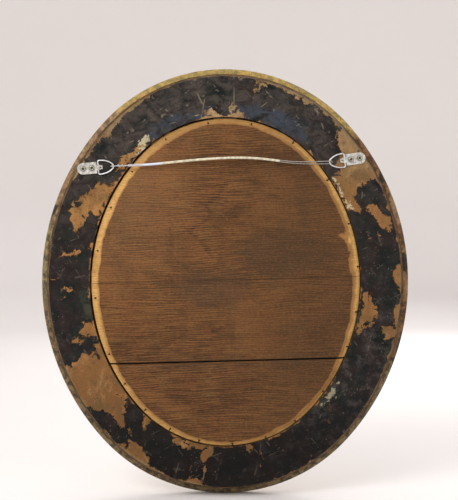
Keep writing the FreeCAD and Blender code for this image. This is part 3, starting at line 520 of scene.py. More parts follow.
def oval_reach(place, half_width, half_height, across=0.0, up=0.0):
    """Distance outside an oval in mm, negative inside."""
    inside = add("Mapping", {
        "Vector": place, "Location": (across * MM, 0, up * MM),
        "Scale": (half_width * MM, 1, half_height * MM),
    }, vector_type="TEXTURE").outputs[0]
    outside = calc("SUBTRACT", distance(inside), 1)
    return times(outside, (half_width + half_height) / 2)


def start_finish(name):
    """A new material and its place in the mirror, that its nodes start from."""
    material = bpy.data.materials.new(name)
    material.use_nodes = True
    nodes = material.node_tree.nodes
    nodes.clear()
    return material, nodes.new("ShaderNodeTexCoord").outputs["Object"]


def surface(skin, roughness, height=None, depth=0.0, metallic=0.0, specular=0.5):
    """Ends a finish in its shader, with a bump of the given depth in metres where a height is given."""
    inputs = {
        "Base Color": skin, "Roughness": roughness, "Metallic": metallic, "Specular IOR Level": specular,
    }
    if height:
        inputs["Normal"] = add("Bump", {"Distance": depth, "Height": height}).outputs[0]
    shader = add("BsdfPrincipled", inputs)
    add("OutputMaterial", {"Surface": shader.outputs[0]})


def finish_nodes(material, names):
    """Puts a finish on CAD parts."""
    for name in names:
        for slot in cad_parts[name].material_slots:
            slot.material = material


def parts(prefix):
    """The CAD parts whose names start so."""
    return [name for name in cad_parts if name.startswith(prefix)]


class MirrorOperator(Operator):
    """Shared settings of the operators."""

    bl_options = {"REGISTER", "UNDO"}


class MIRROR_OT_paint_back(MirrorOperator):
    """Old black paint flaking off the pine of the frame's back layer"""

    bl_idname = "mirror.paint_back"
    bl_label = "Paint the back"

    def execute(self, context):
        look = context.scene.mirror_finish
        material, place = start_finish("flaking black paint")
        across, out, up = axes(place)
        outside = oval_reach(place, *BACK_LAYER)
        ragged = flattened(place, 0.034, 0.026)
        flake = calc("ADD", flakes(ragged, 0.0085, 4.6), flakes(ragged, 0.0032, 2.4))
        patchy = cloud(place, 24, 5, 0.66)
        blotch = cloud(place, 34, 5, 0.62)

        # How deep in bare wood a place is, in mm: listed spots, small chips, and worn edges.
        lost = calc("ADD", spots(ragged, PAINT_LOSSES), flake)
        left = calc("ADD", spots(ragged, PAINT_LEFT), flake)
        lost = calc("MINIMUM", lost, times(left, -1))
        chips = calc("ADD", scaled(patchy, 30, -20.7), times(flake, 0.8))
        worn = scaled(patchy, 11, -6.6)
        inner_worn = calc("SUBTRACT", worn, oval_reach(ragged, *REBATE))
        outer_worn = calc("ADD", worn, oval_reach(ragged, *BACK_LAYER))
        peeled = times(step(spots(place, PEELED), -15, 15), 3.4)
        stripped = times(step(spots(place, STRIPPED), -10, 15), 7.5)
        outer_worn = calc("ADD", outer_worn, calc("MAXIMUM", peeled, stripped))
        edge = calc("ADD", calc("MAXIMUM", inner_worn, outer_worn), times(flake, 0.5))
        bare = calc("MAXIMUM", calc("MAXIMUM", lost, chips), edge)
        gone = step(bare, -0.10, 0.16)

        grain = cloud(spread(place, 22, 22, 80), 9, 6, 0.66, 0.4)
        mottle = cloud(spread(place, 1, 1, 0.5), 44, 8, 0.76, 0.4)
        # The bare wood gets a painted shade towards the bottom.
        wood = coats(
            look.shaded_bare_wood,
            (look.bare_wood, 1, (up, -0.20, 0.02)),
            (look.bare_grey, 1, (across, -0.10, -0.16), (up, 0.12, 0.19)),
            (HANGER_SHADE, 0.42, (across, -0.14, -0.17), (up, 0.178, 0.160)),
            (look.bare_edge, 0.6, (bare, 4.5, 0.4), (patchy, 0.46, 0.58)),
            (PALE_WOOD, 0.82, (up, 0.215, 0.262)),
            (WEATHERED_WOOD, 0.85, (across, 0.06, 0.12), (up, 0.10, 0.16), (outside, -26, -16)),
            (RIM_WOOD, 0.8, (outside, -6.0, -2.0)),
            (BLOTCHED_WOOD, 0.62, (blotch, 0.56, 0.36)),
            (RED_WOOD, 0.42, (mottle, 0.50, 0.64)),
            (LIGHT_WOOD, 0.46, (mottle, 0.49, 0.36)),
            (WOOD_LINE, 0.50, (grain, 0.50, 0.34)),
            (WOOD_DIRT, 0.6, (cloud(place, 120, 5, 0.7), 0.54, 0.68)),
            # A painted shadow of the paint's thickness along its edges.
            (PAINT_EDGE_SHADOW, 0.75, (bare, 0.9, 0.15)),
        )

        dust = cloud(spread(place, 1, 1, 1.4), 40, 8, 0.76, 0.6)
        hue = step(cloud(place, 30, 5, 0.64), 0.44, 0.56)
        # Grey bloom: dust, plus a painted sheen towards the top and +X, the lit side; scratches show more
        # there too.
        high = scaled(step(up, -0.02, 0.27), 0.82, 0.16)
        sunny = scaled(step(across, -0.26, 0.06), 0.24, 0.76)
        dust_and_sheen = times(step(dust, 0.34, 0.66), times(high, sunny))
        paint = blend(
            dust_and_sheen, blend(hue, look.paint, look.paint_cold),
            blend(hue, look.paint_dust_and_sheen, shade(look.paint_dust_and_sheen, 0.80)),
        )
        low = scaled(step(across, 0.06, -0.12), 0.55, 0.45)
        low = times(step(up, 0.10, -0.10), low)
        ash = step(cloud(place, 48, 10, 0.80, 0.1), 0.47, 0.62)
        paint = blend(times(times(ash, low), 0.54), paint, PAINT_ASH)
        haze = fade(up, 0.02, 0.16, LOW_HAZE, look.paint_haze)
        specks = cells(place, 210.0)["Distance"]
        scuffs = cloud(ragged, 120, 9, 0.84, 0.3)
        paint = coats(
            paint,
            # A painted shade of the paint towards the bottom.
            (DEEP_PAINT_SHADE, 0.64, (up, -0.14, -0.27)),
            (haze, 0.85, (spots(ragged, HAZE), -5, 5), (dust, 0.36, 0.60)),
            (PAINT_SPECK, 0.45, (specks, 0.24, 0.12), (blotch, 0.52, 0.60)),
            (PAINT_SCUFF, 0.42, (scuffs, 0.615, 0.690), (cloud(place, 19, 4, 0.6), 0.50, 0.60)),
        )
        straight = flattened(place, 0.007, 0.05)
        seen = scaled(high, 0.50, 0.16)
        for turn, fineness, width in SCRATCHES:
            lined = mapped(straight, turn, (7.7, 1, 1), "TEXTURE")
            scratch = cells(lined, fineness, "DISTANCE_TO_EDGE")["Distance"]
            broken = cloud(place, 25 + fineness, 4)
            paint = coats(paint, (PAINT_SCRATCH, seen, (scratch, width, width * 0.3), (broken, 0.55, 0.64)))

        cream = calc("ADD", spots(ragged, CREAM_SPOTS), times(flake, 1.1))
        cream = times(step(cream, -0.2, 0.5), step(dust, 0.40, 0.52))
        joint = times(step(spots(place, JOINT_LINES), -0.3, 0.7), 0.38)
        ground = fade(up, -0.10, 0.10, shade(look.cream, 0.55), look.cream)
        skin = blend(gone, paint, wood)
        skin = blend(calc("MAXIMUM", cream, joint), skin, ground)
        # The layer's sides, below its back face, are earthy brown and not painted.
        skin = fade(out, -0.0009, -0.0020, skin, fade(dust, 0.42, 0.60, *EARTHY_SIDE))
        height = calc("SUBTRACT", times(dust, 0.5), gone)
        height = calc("ADD", height, times(grain, 0.22))
        surface(skin, scaled(gone, 0.24, 0.52), height, 0.0005, specular=0.09)
        finish_nodes(material, parts("frame_back"))
        return {"FINISHED"}


class MIRROR_OT_gild_front(MirrorOperator):
    """Worn gilding on the moulding, darker wood where it has rubbed off"""

    bl_idname = "mirror.gild_front"
    bl_label = "Gild the front"

    def execute(self, context):
        look = context.scene.mirror_finish
        material, place = start_finish("worn gilding")
        rub = cloud(place, 30, 6, 0.65, 0.3)
        fine = cloud(place, 160, 5, 0.6)
        mottle = cloud(place, 95, 7, 0.76)
        swayed = axes(vector("MULTIPLY_ADD", drift(place, 14.0, 3.0), (0.10,) * 3, place))
        across = calc("SUBTRACT", swayed[0], 0.05)
        up = calc("SUBTRACT", swayed[2], 0.05)

        leaf = fade(mottle, 0.40, 0.60, look.gilt, LEAF_SHADE)
        dark = fade(mottle, 0.42, 0.58, *STRIP_DARK)
        left_side = coats(
            dark,
            (fade(mottle, 0.42, 0.56, *STRIP_OLIVE), 1, (up, -0.045, 0.0)),
            (fade(mottle, 0.40, 0.58, *STRIP_TAN), 1, (up, 0.075, 0.105)),
            (leaf, 1, (up, 0.245, 0.275)),
        )
        right_side = coats(
            dark,
            (fade(mottle, 0.40, 0.56, *STRIP_BROWN), 1, (up, -0.13, -0.08)),
            (leaf, 1, (up, 0.205, 0.235)),
        )
        worn = flattened(place, 0.022, 0.014)
        back = coats(
            left_side,
            (right_side, 1, (across, 0.03, -0.06)),
            (fade(mottle, 0.38, 0.60, *STRIP_WOOD), 0.8, (spots(worn, STRIP_BARE), -0.6, 1.0)),
            (STRIP_PAINT, 0.9, (spots(worn, STRIP_BLACK), -0.6, 1.0)),
        )

        # The strip and the sides that show from behind aren't gilded.
        out = axes(place)[1]
        rim = step(oval_reach(place, *FRONT_LAYER), -15, -11)
        behind = times(rim, step(out, -0.040, -0.034))
        behind = calc("MAXIMUM", behind, step(out, -0.0255, -0.0235))
        facing = calc("SUBTRACT", 1, behind)
        skin = blend(facing, back, fade(rub, 0.4, 0.7, look.gilt, RUBBED_GILT))
        cracks = cells(place, 60.0, "DISTANCE_TO_EDGE")["Distance"]
        crack = times(step(cracks, 0.03, 0.008), step(rub, 0.45, 0.6))
        skin = blend(times(crack, 0.7), skin, GILT_CRACK)
        metal = times(times(facing, step(rub, 0.66, 0.42)), 0.75)
        roughness = scaled(behind, 0.2, scaled(rub, 0.35, 0.30))
        height = calc("SUBTRACT", scaled(fine, 0.25, rub), crack)
        surface(skin, roughness, height, 0.0004, metallic=metal, specular=0.25)

        for side, (across, up, radius, start, end) in SEGMENTS.items():
            bm = turned_moulding(Vector((across, 0, up)) * MM, radius, start, end)
            piece = new_piece(
                f"moulding_{side}", bm, Matrix.Identity(4), [material],
                "mirror", "gilt", f"frame_front_{side}",
            )
            piece.data.set_sharp_from_angle(angle=CREASE)
        return {"FINISHED"}


class MIRROR_OT_age_boards(MirrorOperator):
    """Brown weathered boards with a pale bevel, the nails in it and what lies behind"""

    bl_idname = "mirror.age_boards"
    bl_label = "Age the boards"

    def execute(self, context):
        look = context.scene.mirror_finish
        material, place = start_finish("weathered boards")
        across, out, up = axes(place)
        turned = mapped(place, -1.2)
        waving = drift(spread(turned, 3, 3, 9), 1.6, 3.0)
        wavy = vector("MULTIPLY_ADD", waving, (0, 0, 0.020), turned)
        rings = cloud(spread(wavy, 1.6, 1.6, 46), 4.0, 6, 0.66)
        lines = cloud(spread(wavy, 5.0, 5.0, 118), 4.0, 2, 0.5)
        fibres = cloud(spread(wavy, 22, 22, 300), 4.0, 5, 0.72)
        pores = cloud(spread(wavy, 60, 60, 420), 4.0, 3, 0.7)
        broad = cloud(spread(turned, 1, 1, 1.7), 9.0, 6, 0.62, 0.5)
        waves = add("TexWave", {
            "Vector": spread(wavy, 0.5, 0.5, 1), "Scale": 92.0, "Distortion": 7.0, "Detail": 3.0,
            "Detail Scale": 0.3,
        }, bands_direction="Z").outputs["Fac"]
        tone = scaled(rings, 0.16, times(fibres, 0.50))
        tone = scaled(waves, 0.12, scaled(lines, 0.42, tone))
        tone = calc("ADD", tone, scaled(broad, 0.36, -0.280))

        grey = vector("MULTIPLY_ADD", drift(place, 16.0, 6.0, 0.7), (0.06,) * 3, place)
        grey = spots(vector("SUBTRACT", grey, (0.03,) * 3), BOARD_STAINS)
        ember = cloud(spread(turned, 1, 1, 2), 7.0, 4)
        tinge = cloud(spread(turned, 1, 1, 2.6), 24.0, 7, 0.74)
        stain = cloud(spread(turned, 1.6, 1, 1), 12.0, 6, 0.68, 1.2)
        grit = cloud(spread(place, 1, 1, 1.5), 230, 4, 0.8)
        figure = spots(flattened(place, 0.016, 0.010), BOARD_FIGURE)
        dashes = cloud(spread(wavy, 13, 13, 190), 4.0, 4, 0.6)
        wood = coats(
            look.board_dark,
            (look.board_light, 1, (tone, 0.363, 0.637)),
            (BOARD_EMBER, 0.40, (ember, 0.48, 0.70)),
            (BOARD_RED, 0.44, (tinge, 0.50, 0.66)),
            (BOARD_OLIVE, 0.38, (tinge, 0.49, 0.33)),
            (BOARD_GREY, 0.48, (grey, -6, 12)),
            # A painted light on the boards towards the top at +X, and a painted shade towards -X.
            (BOARD_LIT_SIDE, 0.24, (across, 0.00, 0.15), (up, -0.08, 0.14)),
            (BOARD_SHADED_SIDE, 0.53, (across, 0.06, -0.14)),
            (BOARD_STAIN, 0.30, (stain, 0.53, 0.66)),
            (DARK_GRIT, 0.34, (grit, 0.50, 0.60)),
            (LIGHT_GRIT, 0.22, (grit, 0.48, 0.38)),
            (DARK_FIGURE, 0.86, (figure, -2.5, 2.5), (waves, 0.80, 0.30)),
            (DARK_DASH, 0.50, (dashes, 0.40, 0.32)),
            (DARK_PORE, 0.7, (pores, 0.42, 0.28)),
            (LIGHT_PORE, 0.45, (pores, 0.60, 0.74)),
        )

        # How far a place lies on the bevel, in mm. It is thinner at the bottom and the top.
        bevel = oval_reach(flattened(place, 0.011, 0.030), *BEVEL)
        lobes = spots(flattened(place, 0.022, 0.016), BEVEL_LOBES)
        thinner = times(step(up, -0.10, -0.24), 1.2)
        thinner = scaled(step(up, 0.195, 0.245), 2.8, thinner)
        bevel = calc("SUBTRACT", calc("MAXIMUM", bevel, lobes), thinner)
        streaks = cloud(spread(turned, 30, 30, 160), 4.0, 5, 0.65)
        pale = coats(
            shade(look.bevel, 0.66),
            (look.bevel, 1, (streaks, 0.32, 0.66)),
            (BEVEL_SPOT, 0.60, (cloud(place, 42, 5, 0.65), 0.50, 0.70)),
            (BEVEL_EDGE, 0.70, (bevel, 3.4, 0.0)),
        )
        # The bevel gets a painted shade at -X, at the top and bottom, and on the inner part of its lower
        # half.
        low = times(step(up, -0.14, -0.23), 0.08)
        dull = times(step(across, 0.03, -0.12), step(bevel, 8.0, 2.8))
        high = times(step(up, 0.16, 0.23), 0.62)
        worn = times(step(up, 0.02, -0.05), step(bevel, 6.5, 2.0))
        low = calc("MAXIMUM", low, times(worn, 0.42))
        dull = calc("MAXIMUM", times(dull, 0.86), calc("MAXIMUM", low, high))
        pale = blend(dull, pale, BEVEL_SHADE)
        # The pale bevel, and a painted shadow on the boards' sides in the gap round them.
        skin = coats(wood, (pale, 1, (bevel, -1.4, 0.9)), (BOARD_SIDE_SHADOW, 1, (out, -0.0042, -0.0050)))
        height = calc("ADD", times(fibres, 0.8), pores)
        surface(skin, scaled(fibres, 0.25, 0.58), height, 0.0005, specular=0.16)
        finish_nodes(material, parts("backboard_"))

        material, place = start_finish("rusted nail iron")
        rust = cloud(place, 900, 4, 0.6)
        skin = fade(rust, 0.4, 0.65, *NAIL_IRON)
        surface(skin, scaled(rust, 0.4, 0.4), rust, 0.0001, metallic=0.6)
        finish_nodes(material, ["backboard_nails"])

        material, place = start_finish("sawn pine blocks")
        grain = cloud(spread(place, 12, 12, 90), 6.0, 6, 0.6)
        surface(fade(grain, 0.3, 0.7, *BLOCK_PINE), 0.75, grain, 0.0003)
        finish_nodes(material, parts("plate_block"))

        material, place = start_finish("silvered plate")
        foxing = cloud(place, 34, 7, 0.7)
        rim = oval_reach(place, *SIGHT_EDGE)
        tarnish = times(step(foxing, 0.56, 0.70), step(rim, -26, 2))
        coated = step(axes(place)[1], -0.0190, -0.0184)
        skin = blend(coated, blend(tarnish, PLATE_SILVER, PLATE_TARNISH), PLATE_BACKING)
        rough = scaled(coated, 0.6, times(tarnish, 0.4))
        surface(skin, calc("ADD", rough, 0.03), metallic=calc("SUBTRACT", 1, coated))
        finish_nodes(material, ["mirror_plate"])
        return {"FINISHED"}


def hanger_place(side):
    """A hanger's own axes: X to the mirror's middle, Y along its bar, Z out of the back."""
    across, up, turn = HANGERS[side]
    turn = math.radians(turn)
    return Matrix((
        (math.cos(turn), -math.sin(turn), 0, across * MM),
        (0, 0, 1, 0),
        (-math.sin(turn), -math.cos(turn), 0, up * MM),
        (0, 0, 0, 1),
    ))


def into_scene(data):
    """A new object in the scene, named as its data."""
    thing = bpy.data.objects.new(data.name, data)
    bpy.context.scene.collection.objects.link(thing)
    return thing


def smooth_mesh(name, bm, materials):
    """A mesh with outward normals and smooth faces."""
    bmesh.ops.recalc_face_normals(bm, faces=bm.faces)
    for face in bm.faces:
        face.smooth = True
    mesh = bpy.data.meshes.new(name)
    bm.to_mesh(mesh)
    bm.free()
    for material in materials:
        mesh.materials.append(material)
    return mesh


def stand_in(data, body, slot, node):
    """A finished piece in place of its CAD part."""
    piece = into_scene(data)
    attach(piece, body)
    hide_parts(node)
    return piece


def new_piece(name, bm, place, materials, *stands_for):
    """A finished mesh piece, put in its place."""
    bmesh.ops.transform(bm, matrix=place, verts=bm.verts)
    bmesh.ops.remove_doubles(bm, verts=bm.verts, dist=1e-6)
    return stand_in(smooth_mesh(name, bm, materials), *stands_for)


def turned_moulding(centre, radius, start, end):
    """The moulding's section turned about one centre of the oval, closed at both ends."""
    bm = bmesh.new()
    out = Vector((math.cos(start), 0, math.sin(start)))
    section = []
    corners = zip(MOULDING, (*MOULDING[1:], MOULDING[0]))
    for (reach, level, bulge, rise), (next_reach, next_level, _, _) in corners:
        steps = BULGE_STEPS if bulge or rise else 1
        for count in range(steps):
            share = count / steps
            swell = 4 * share * (1 - share)
            away = radius + reach + (next_reach - reach) * share + bulge * swell
            depth = level + (next_level - level) * share + rise * swell
            section.append(bm.verts.new(centre + (out * away + Vector((0, depth, 0))) * MM))
    edges = [bm.edges.new(pair) for pair in zip(section, (*section[1:], section[0]))]
    bmesh.ops.spin(
        bm, geom=[*section, *edges], cent=centre, axis=(0, -1, 0), angle=end - start, steps=SEGMENT_STEPS,
        use_merge=False,
    )
    bmesh.ops.holes_fill(bm, edges=[edge for edge in bm.edges if edge.is_boundary])
    return bm


def metal_finish(name):
    """Bright sheet or rod with dull spots and a little grime."""
    bright, dull, grimy, roughness, fineness = METALS[name]
    material, place = start_finish(name)
    spangle = cloud(place, fineness, 5, 0.6, 0.4)
    grime = cloud(place, fineness * 0.45, 5, 0.7)
    skin = coats(bright, (dull, 1, (spangle, 0.35, 0.65)), (grimy, 0.8, (grime, 0.58, 0.72)))
    surface(skin, scaled(spangle, 0.25, roughness), spangle, 0.00006, metallic=0.85)
    return material


class MIRROR_OT_plate_hangers(MirrorOperator):
    """Zinc on the folded straps of the hangers"""

    bl_idname = "mirror.plate_hangers"
    bl_label = "Plate the hangers"

    def execute(self, context):
        look = context.scene.mirror_finish
        material, place = start_finish("bright zinc")
        out = axes(place)[1]
        spangle = cloud(place, 300, 5, 0.6, 0.5)
        grime = cloud(place, 130, 5, 0.7)
        # A painted shade on a thin band of the strap, 0.9 mm above the back, at its fold.
        fold_shade = calc("ABSOLUTE", calc("SUBTRACT", out, 0.0009))
        # A painted shade on the zinc round each screw's head.
        screw_shades = []
        for across, up, turn in HANGERS.values():
            turn = math.radians(turn)
            for along in SCREWS.values():
                middle = (across + along * math.cos(turn), up - along * math.sin(turn))
                screw_shades.append((*middle, SEAT_RADIUS, SEAT_RADIUS))
        skin = coats(
            look.zinc,
            (shade(look.zinc, 0.62), 1, (spangle, 0.42, 0.60)),
            (ZINC_SCREW_SHADE, 0.55, (spots(place, {0: screw_shades}), -0.8, 2.2)),
            (ZINC_GRIME, 0.7, (grime, 0.56, 0.68)),
            (ZINC_FOLD_SHADE, 0.85, (fold_shade, 0.00022, 0.00008)),
        )
        surface(skin, scaled(spangle, 0.22, 0.26), spangle, 0.00005, metallic=0.55)
        finish_nodes(material, ["left_hanger_strap", "right_hanger_strap"])
        return {"FINISHED"}


def made_of(geom, kind):
    """The vertices or edges among what a bmesh operator made."""
    return [item for item in geom if isinstance(item, kind)]


def bent_rod(radius, runs):
    """Rod of round section from the origin along Y: straight runs, each with the turn and bend after it."""
    bm = bmesh.new()
    bmesh.ops.create_circle(bm, segments=16, radius=radius, matrix=Matrix.Rotation(math.radians(90), 4, "X"))
    loop = bm.edges[:]
    spot, heading = Vector((0, 0, 0)), Vector((0, 1, 0))
    for run, turn, bend in runs:
        made = bmesh.ops.extrude_edge_only(bm, edges=loop)["geom"]
        bmesh.ops.translate(bm, verts=made_of(made, bmesh.types.BMVert), vec=heading * run)
        loop = [edge for edge in made_of(made, bmesh.types.BMEdge) if edge.is_boundary]
        spot = spot + heading * run
        if turn:
            aside = Vector((heading.y, -heading.x, 0))
            centre = spot + aside * bend
            made = bmesh.ops.spin(
                bm, geom=[*loop, *dict.fromkeys(vert for edge in loop for vert in edge.verts)], cent=centre,
                axis=(0, 0, 1), angle=-turn, steps=max(6, round(math.degrees(turn) / 7)), use_merge=False,
            )["geom_last"]
            loop = made_of(made, bmesh.types.BMEdge)
            turned = Matrix.Rotation(-turn, 3, "Z")
            spot = centre + turned @ (spot - centre)
            heading = turned @ heading
    return bm


class MIRROR_OT_bend_rings(MirrorOperator):
    """Two blunt triangular rings of steel rod that swing in the straps' barrels"""

    bl_idname = "mirror.bend_rings"
    bl_label = "Bend the rings"

    def execute(self, context):
        size = context.scene.mirror_hanger
        corners = (
            Vector((0, size.bar / 2)), Vector((size.shoulder_reach, size.shoulder / 2)),
            Vector((size.reach, size.apex / 2)), Vector((size.reach, 0)),
        )
        runs, spot, used = [], Vector((0, 0)), 0
        for corner, following, bend in zip(corners, (*corners[1:], None), RING_BENDS):
            turn = (following - corner).angle(corner - spot) if following else 0
            reach = bend * math.tan(turn / 2)
            runs.append(((corner - spot).length - used - reach, turn, bend))
            spot, used = corner, reach
        steel = metal_finish("bright ring steel")
        lift = Matrix.Translation((0, 0, BAR_HEIGHT * MM)) @ Matrix.Rotation(-math.radians(RING_TURN), 4, "Y")
        for side in HANGERS:
            bm = bent_rod(size.rod / 2, runs)
            bmesh.ops.mirror(bm, geom=[*bm.verts, *bm.edges, *bm.faces], axis="Y", merge_dist=1e-6)
            new_piece(
                f"{side}_ring_rod", bm, hanger_place(side) @ lift, [steel],
                f"{side}_hanger_ring", "ring_steel", f"{side}_ring",
            )
        return {"FINISHED"}


class MIRROR_OT_drive_screws(MirrorOperator):
    """Four pan-head screws with a cross recess, on the straps"""

    bl_idname = "mirror.drive_screws"
    bl_label = "Drive the screws"

    def execute(self, context):
        cell = context.scene.mirror_hanger.recess / 8
        metals = [metal_finish(name) for name in ("bright screw steel", "yellow plated crown", "screw shade")]
        for (side, place), turn in SCREW_TURNS.items():
            bm = bmesh.new()
            bmesh.ops.create_grid(bm, x_segments=10, y_segments=10, size=cell * 5)
            cross = []
            for face in bm.faces:
                middle = face.calc_center_median()
                near, far = sorted((abs(middle.x), abs(middle.y)))
                if near < cell and far < cell * 4:
                    cross.append(face)
            crown = [face for face in bm.faces if face not in cross]
            edge = [item for item in bm.edges if item.is_boundary]
            for reach, level in SCREW_PROFILE:
                made = bmesh.ops.extrude_edge_only(bm, edges=edge)["geom"]
                for vert in made_of(made, bmesh.types.BMVert):
                    out = Vector((vert.co.x, vert.co.y, 0)).normalized()
                    vert.co = out * reach * MM + Vector((0, 0, level * MM))
                edge = [item for item in made_of(made, bmesh.types.BMEdge) if item.is_boundary]
            bmesh.ops.holes_fill(bm, edges=edge)
            for vert in dict.fromkeys(vert for face in crown for vert in face.verts):
                reach = math.hypot(vert.co.x, vert.co.y) / MM
                vert.co.z -= CROWN_FALL * reach ** 2 * MM
            made = bmesh.ops.extrude_face_region(bm, geom=cross)["geom"]
            floor = made_of(made, bmesh.types.BMVert)
            bmesh.ops.translate(bm, verts=floor, vec=(0, 0, -RECESS_DEPTH * MM))
            bmesh.ops.scale(bm, verts=floor, vec=(RECESS_TAPER, RECESS_TAPER, 1))
            bmesh.ops.delete(bm, geom=cross, context="FACES_ONLY")
            # The head's rim and the cross recess get a painted shade, and the crown between the cross's arms
            # is plated.
            for face in bm.faces:
                middle = face.calc_center_median()
                reach = math.hypot(middle.x, middle.y)
                if middle.z > -2.1 * MM and reach > CROWN_RADIUS * MM:
                    face.material_index = 2
                elif middle.z > -2 * MM and reach < cell * 4.4:
                    face.material_index = 2 if middle.z < -0.35 * MM else 1
            seat = Matrix.Translation((SCREWS[place] * MM, 0, CROWN_HEIGHT * MM))
            seat = seat @ Matrix.Rotation(math.radians(turn), 4, "Z")
            new_piece(
                f"{side}_screw_{place}", bm, hanger_place(side) @ seat, metals,
                "mirror", "screw_steel", f"{side}_hanger_screw_{place}",
            )
        return {"FINISHED"}


def cord_line(name, points, diameter, material, slot, node):
    """Smooth line of a cord through its route's points, in place of its CAD part."""
    line = bpy.data.curves.new(name, "CURVE")
    line.dimensions = "3D"
    line.resolution_u = 8
    line.bevel_depth = diameter / 2
    line.bevel_resolution = 3
    line.use_fill_caps = True
    line.materials.append(material)
    spline = line.splines.new("NURBS")
    spline.points.add(len(points) - 1)
    for knot, point in zip(spline.points, points):
        knot.co = (*point, 1)
    spline.order_u = 3
    spline.use_endpoint_u = True
    return stand_in(line, "wire", slot, node)


def ring_loop(side, points):
    """Points of the wire's route round a ring's rod."""
    place = hanger_place(side)
    rows = ((along * MM, across * MM, (ROD_HEIGHT + above) * MM) for along, across, above in points)
    return [place @ Vector(row) for row in rows]


class MIRROR_OT_string_wire(MirrorOperator):
    """Hanging wire: a cream sleeve, two bare strands round the right ring and a wrapped end at the left"""

    bl_idname = "mirror.string_wire"
    bl_label = "String the wire"

    def execute(self, context):
        look = context.scene.mirror_finish
        size = context.scene.mirror_hanger

        start = Vector(SLEEVE_ROUTE[0])
        over, *loop = ring_loop("left", LEFT_LOOP)
        axis = (start - over).normalized()
        route = [start, *(over + axis * away for away in BEFORE_LOOP), *loop]
        down = (Vector((0, -1, 0)) - axis * -axis.y).normalized()
        aside = axis.cross(down)
        begin = over + axis * WOUND_START
        for count in range(25):
            angle = math.radians(30 * count)
            away = down * math.cos(angle) + aside * math.sin(angle)
            route.append(begin + axis * (WOUND_ADVANCE * count / 12) + away * WOUND_RADIUS)
        wire = cord_line(
            "hanging_wire_wrapped_end", route, size.wire, metal_finish("dull wire steel"),
            "wire_steel", "hanging_wire_left",
        )

        end = Vector(SLEEVE_ROUTE[-1])
        half_gap = Vector((0, 0, STRAND_GAP))
        loop = ring_loop("right", RIGHT_LOOP)
        route = [end + half_gap, *UPPER_STRAND, *loop, *LOWER_STRAND, end - half_gap]
        # The bare strands are the same wire, in a copy of its finish with a painted shade.
        wire = cord_line(
            "hanging_wire_bare_strands", route, size.wire, metal_finish("shaded wire steel"),
            "wire_steel", "hanging_wire_right",
        )

        material, place = start_finish("cream sleeve")
        lumps = cloud(place, 260, 4, 0.6)
        across = axes(place)[0]
        skin = coats(
            look.sleeve,
            (shade(look.sleeve, 0.62), 1, (lumps, 0.35, 0.62)),
            # A painted bluish highlight on the sleeve near its left end.
            (SLEEVE_SHINE, 1, (across, 0.088, 0.102)),
            (SLEEVE_END, 1, (across, 0.118, 0.132)),
            (SLEEVE_DIRT, 0.6, (cloud(place, 90, 5, 0.7), 0.56, 0.70)),
        )
        surface(skin, 0.55, lumps, 0.0005)
        sleeve = cord_line(
            "hanging_wire_cream_sleeve", SLEEVE_ROUTE, size.sleeve, material, "cream_sleeve",
            "hanging_wire_sleeve",
        )
        return {"FINISHED"}


def aimed(data, spot, target):
    """A light or camera that looks from a spot at a target."""
    thing = into_scene(data)
    thing.location = spot
    thing.rotation_mode = "QUATERNION"
    thing.rotation_quaternion = (Vector(target) - Vector(spot)).to_track_quat("-Z", "Y")
    return thing


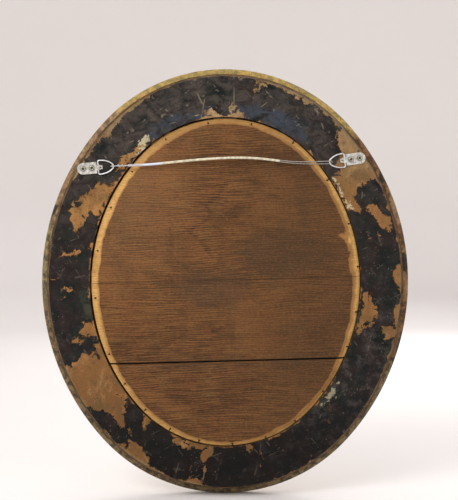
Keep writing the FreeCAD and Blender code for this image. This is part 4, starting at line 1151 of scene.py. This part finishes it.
class MIRROR_OT_set_stage(MirrorOperator):
    """Plain pale floor, soft studio light and the camera"""

    bl_idname = "mirror.set_stage"
    bl_label = "Set the stage"

    def execute(self, context):
        stage = context.scene.mirror_stage
        bm = bmesh.new()
        profile = [bm.verts.new((reach, 0, cad_low.z + rise)) for reach, rise in FLOOR_PROFILE]
        edges = [bm.edges.new(pair) for pair in zip(profile, profile[1:])]
        bmesh.ops.spin(
            bm, geom=[*profile, *edges], cent=(0, 0, 0), axis=(0, 0, 1), angle=math.tau, steps=64,
            use_merge=True,
        )
        hole = [edge for edge in bm.edges if edge.is_boundary and edge.calc_length() < 0.01]
        bmesh.ops.holes_fill(bm, edges=hole)
        material, place = start_finish("plain pale floor")
        skin = blend(cloud(place, 3, 3, 0.5), stage.floor, shade(stage.floor, 0.97))
        surface(skin, 0.9)
        into_scene(smooth_mesh("floor", bm, [material]))

        for name, (spot, width, power) in LIGHTS.items():
            lamp = bpy.data.lights.new(name, "AREA")
            lamp.size = width
            lamp.energy = power
            aimed(lamp, spot, (0, 0, 0))

        world = bpy.data.worlds.new("pale surroundings")
        world.use_nodes = True
        world.node_tree.nodes["Background"].inputs["Color"].default_value = (*stage.wall, 1)
        context.scene.world = world
        context.scene.view_settings.view_transform = "Standard"

        lens = bpy.data.cameras.new("camera")
        lens.lens = stage.lens
        lens.sensor_width = 36
        spot = [share * stage.distance for share in CAMERA_LINE]
        context.scene.camera = aimed(lens, spot, CAMERA_TARGET)
        return {"FINISHED"}


OPERATORS = (
    MIRROR_OT_set_stage, MIRROR_OT_string_wire, MIRROR_OT_bend_rings, MIRROR_OT_drive_screws,
    MIRROR_OT_plate_hangers, MIRROR_OT_paint_back, MIRROR_OT_gild_front, MIRROR_OT_age_boards,
)


class MIRROR_PT_workshop(Panel):
    """The steps of finishing the mirror"""

    bl_idname = "MIRROR_PT_workshop"
    bl_label = "Oval mirror"
    bl_space_type = "VIEW_3D"
    bl_region_type = "UI"
    bl_category = "Mirror"

    def draw(self, context):
        layout = self.layout
        for group in ("mirror_stage", "mirror_hanger", "mirror_finish"):
            settings = getattr(context.scene, group)
            box = layout.box()
            for name in settings.bl_rna.properties.keys():
                if name not in ("rna_type", "name"):
                    box.prop(settings, name)
        for operator in OPERATORS:
            layout.operator(operator.bl_idname)


SETTINGS = {"mirror_stage": MirrorStage, "mirror_hanger": MirrorHanger, "mirror_finish": MirrorFinish}


def register():
    """Adds the settings, the operators and the panel."""
    for kind in (*SETTINGS.values(), *OPERATORS, MIRROR_PT_workshop):
        bpy.utils.register_class(kind)
    for name, kind in SETTINGS.items():
        setattr(bpy.types.Scene, name, PointerProperty(type=kind))


def unregister():
    """Takes them out again."""
    for name in SETTINGS:
        delattr(bpy.types.Scene, name)
    for kind in reversed((*SETTINGS.values(), *OPERATORS, MIRROR_PT_workshop)):
        bpy.utils.unregister_class(kind)


def main():
    """Finishes the mirror step by step."""
    register()
    bpy.ops.mirror.set_stage()
    bpy.ops.mirror.string_wire()
    bpy.ops.mirror.bend_rings()
    bpy.ops.mirror.drive_screws()
    bpy.ops.mirror.plate_hangers()
    bpy.ops.mirror.paint_back()
    bpy.ops.mirror.gild_front()
    bpy.ops.mirror.age_boards()


if __name__ == "__main__":
    main()
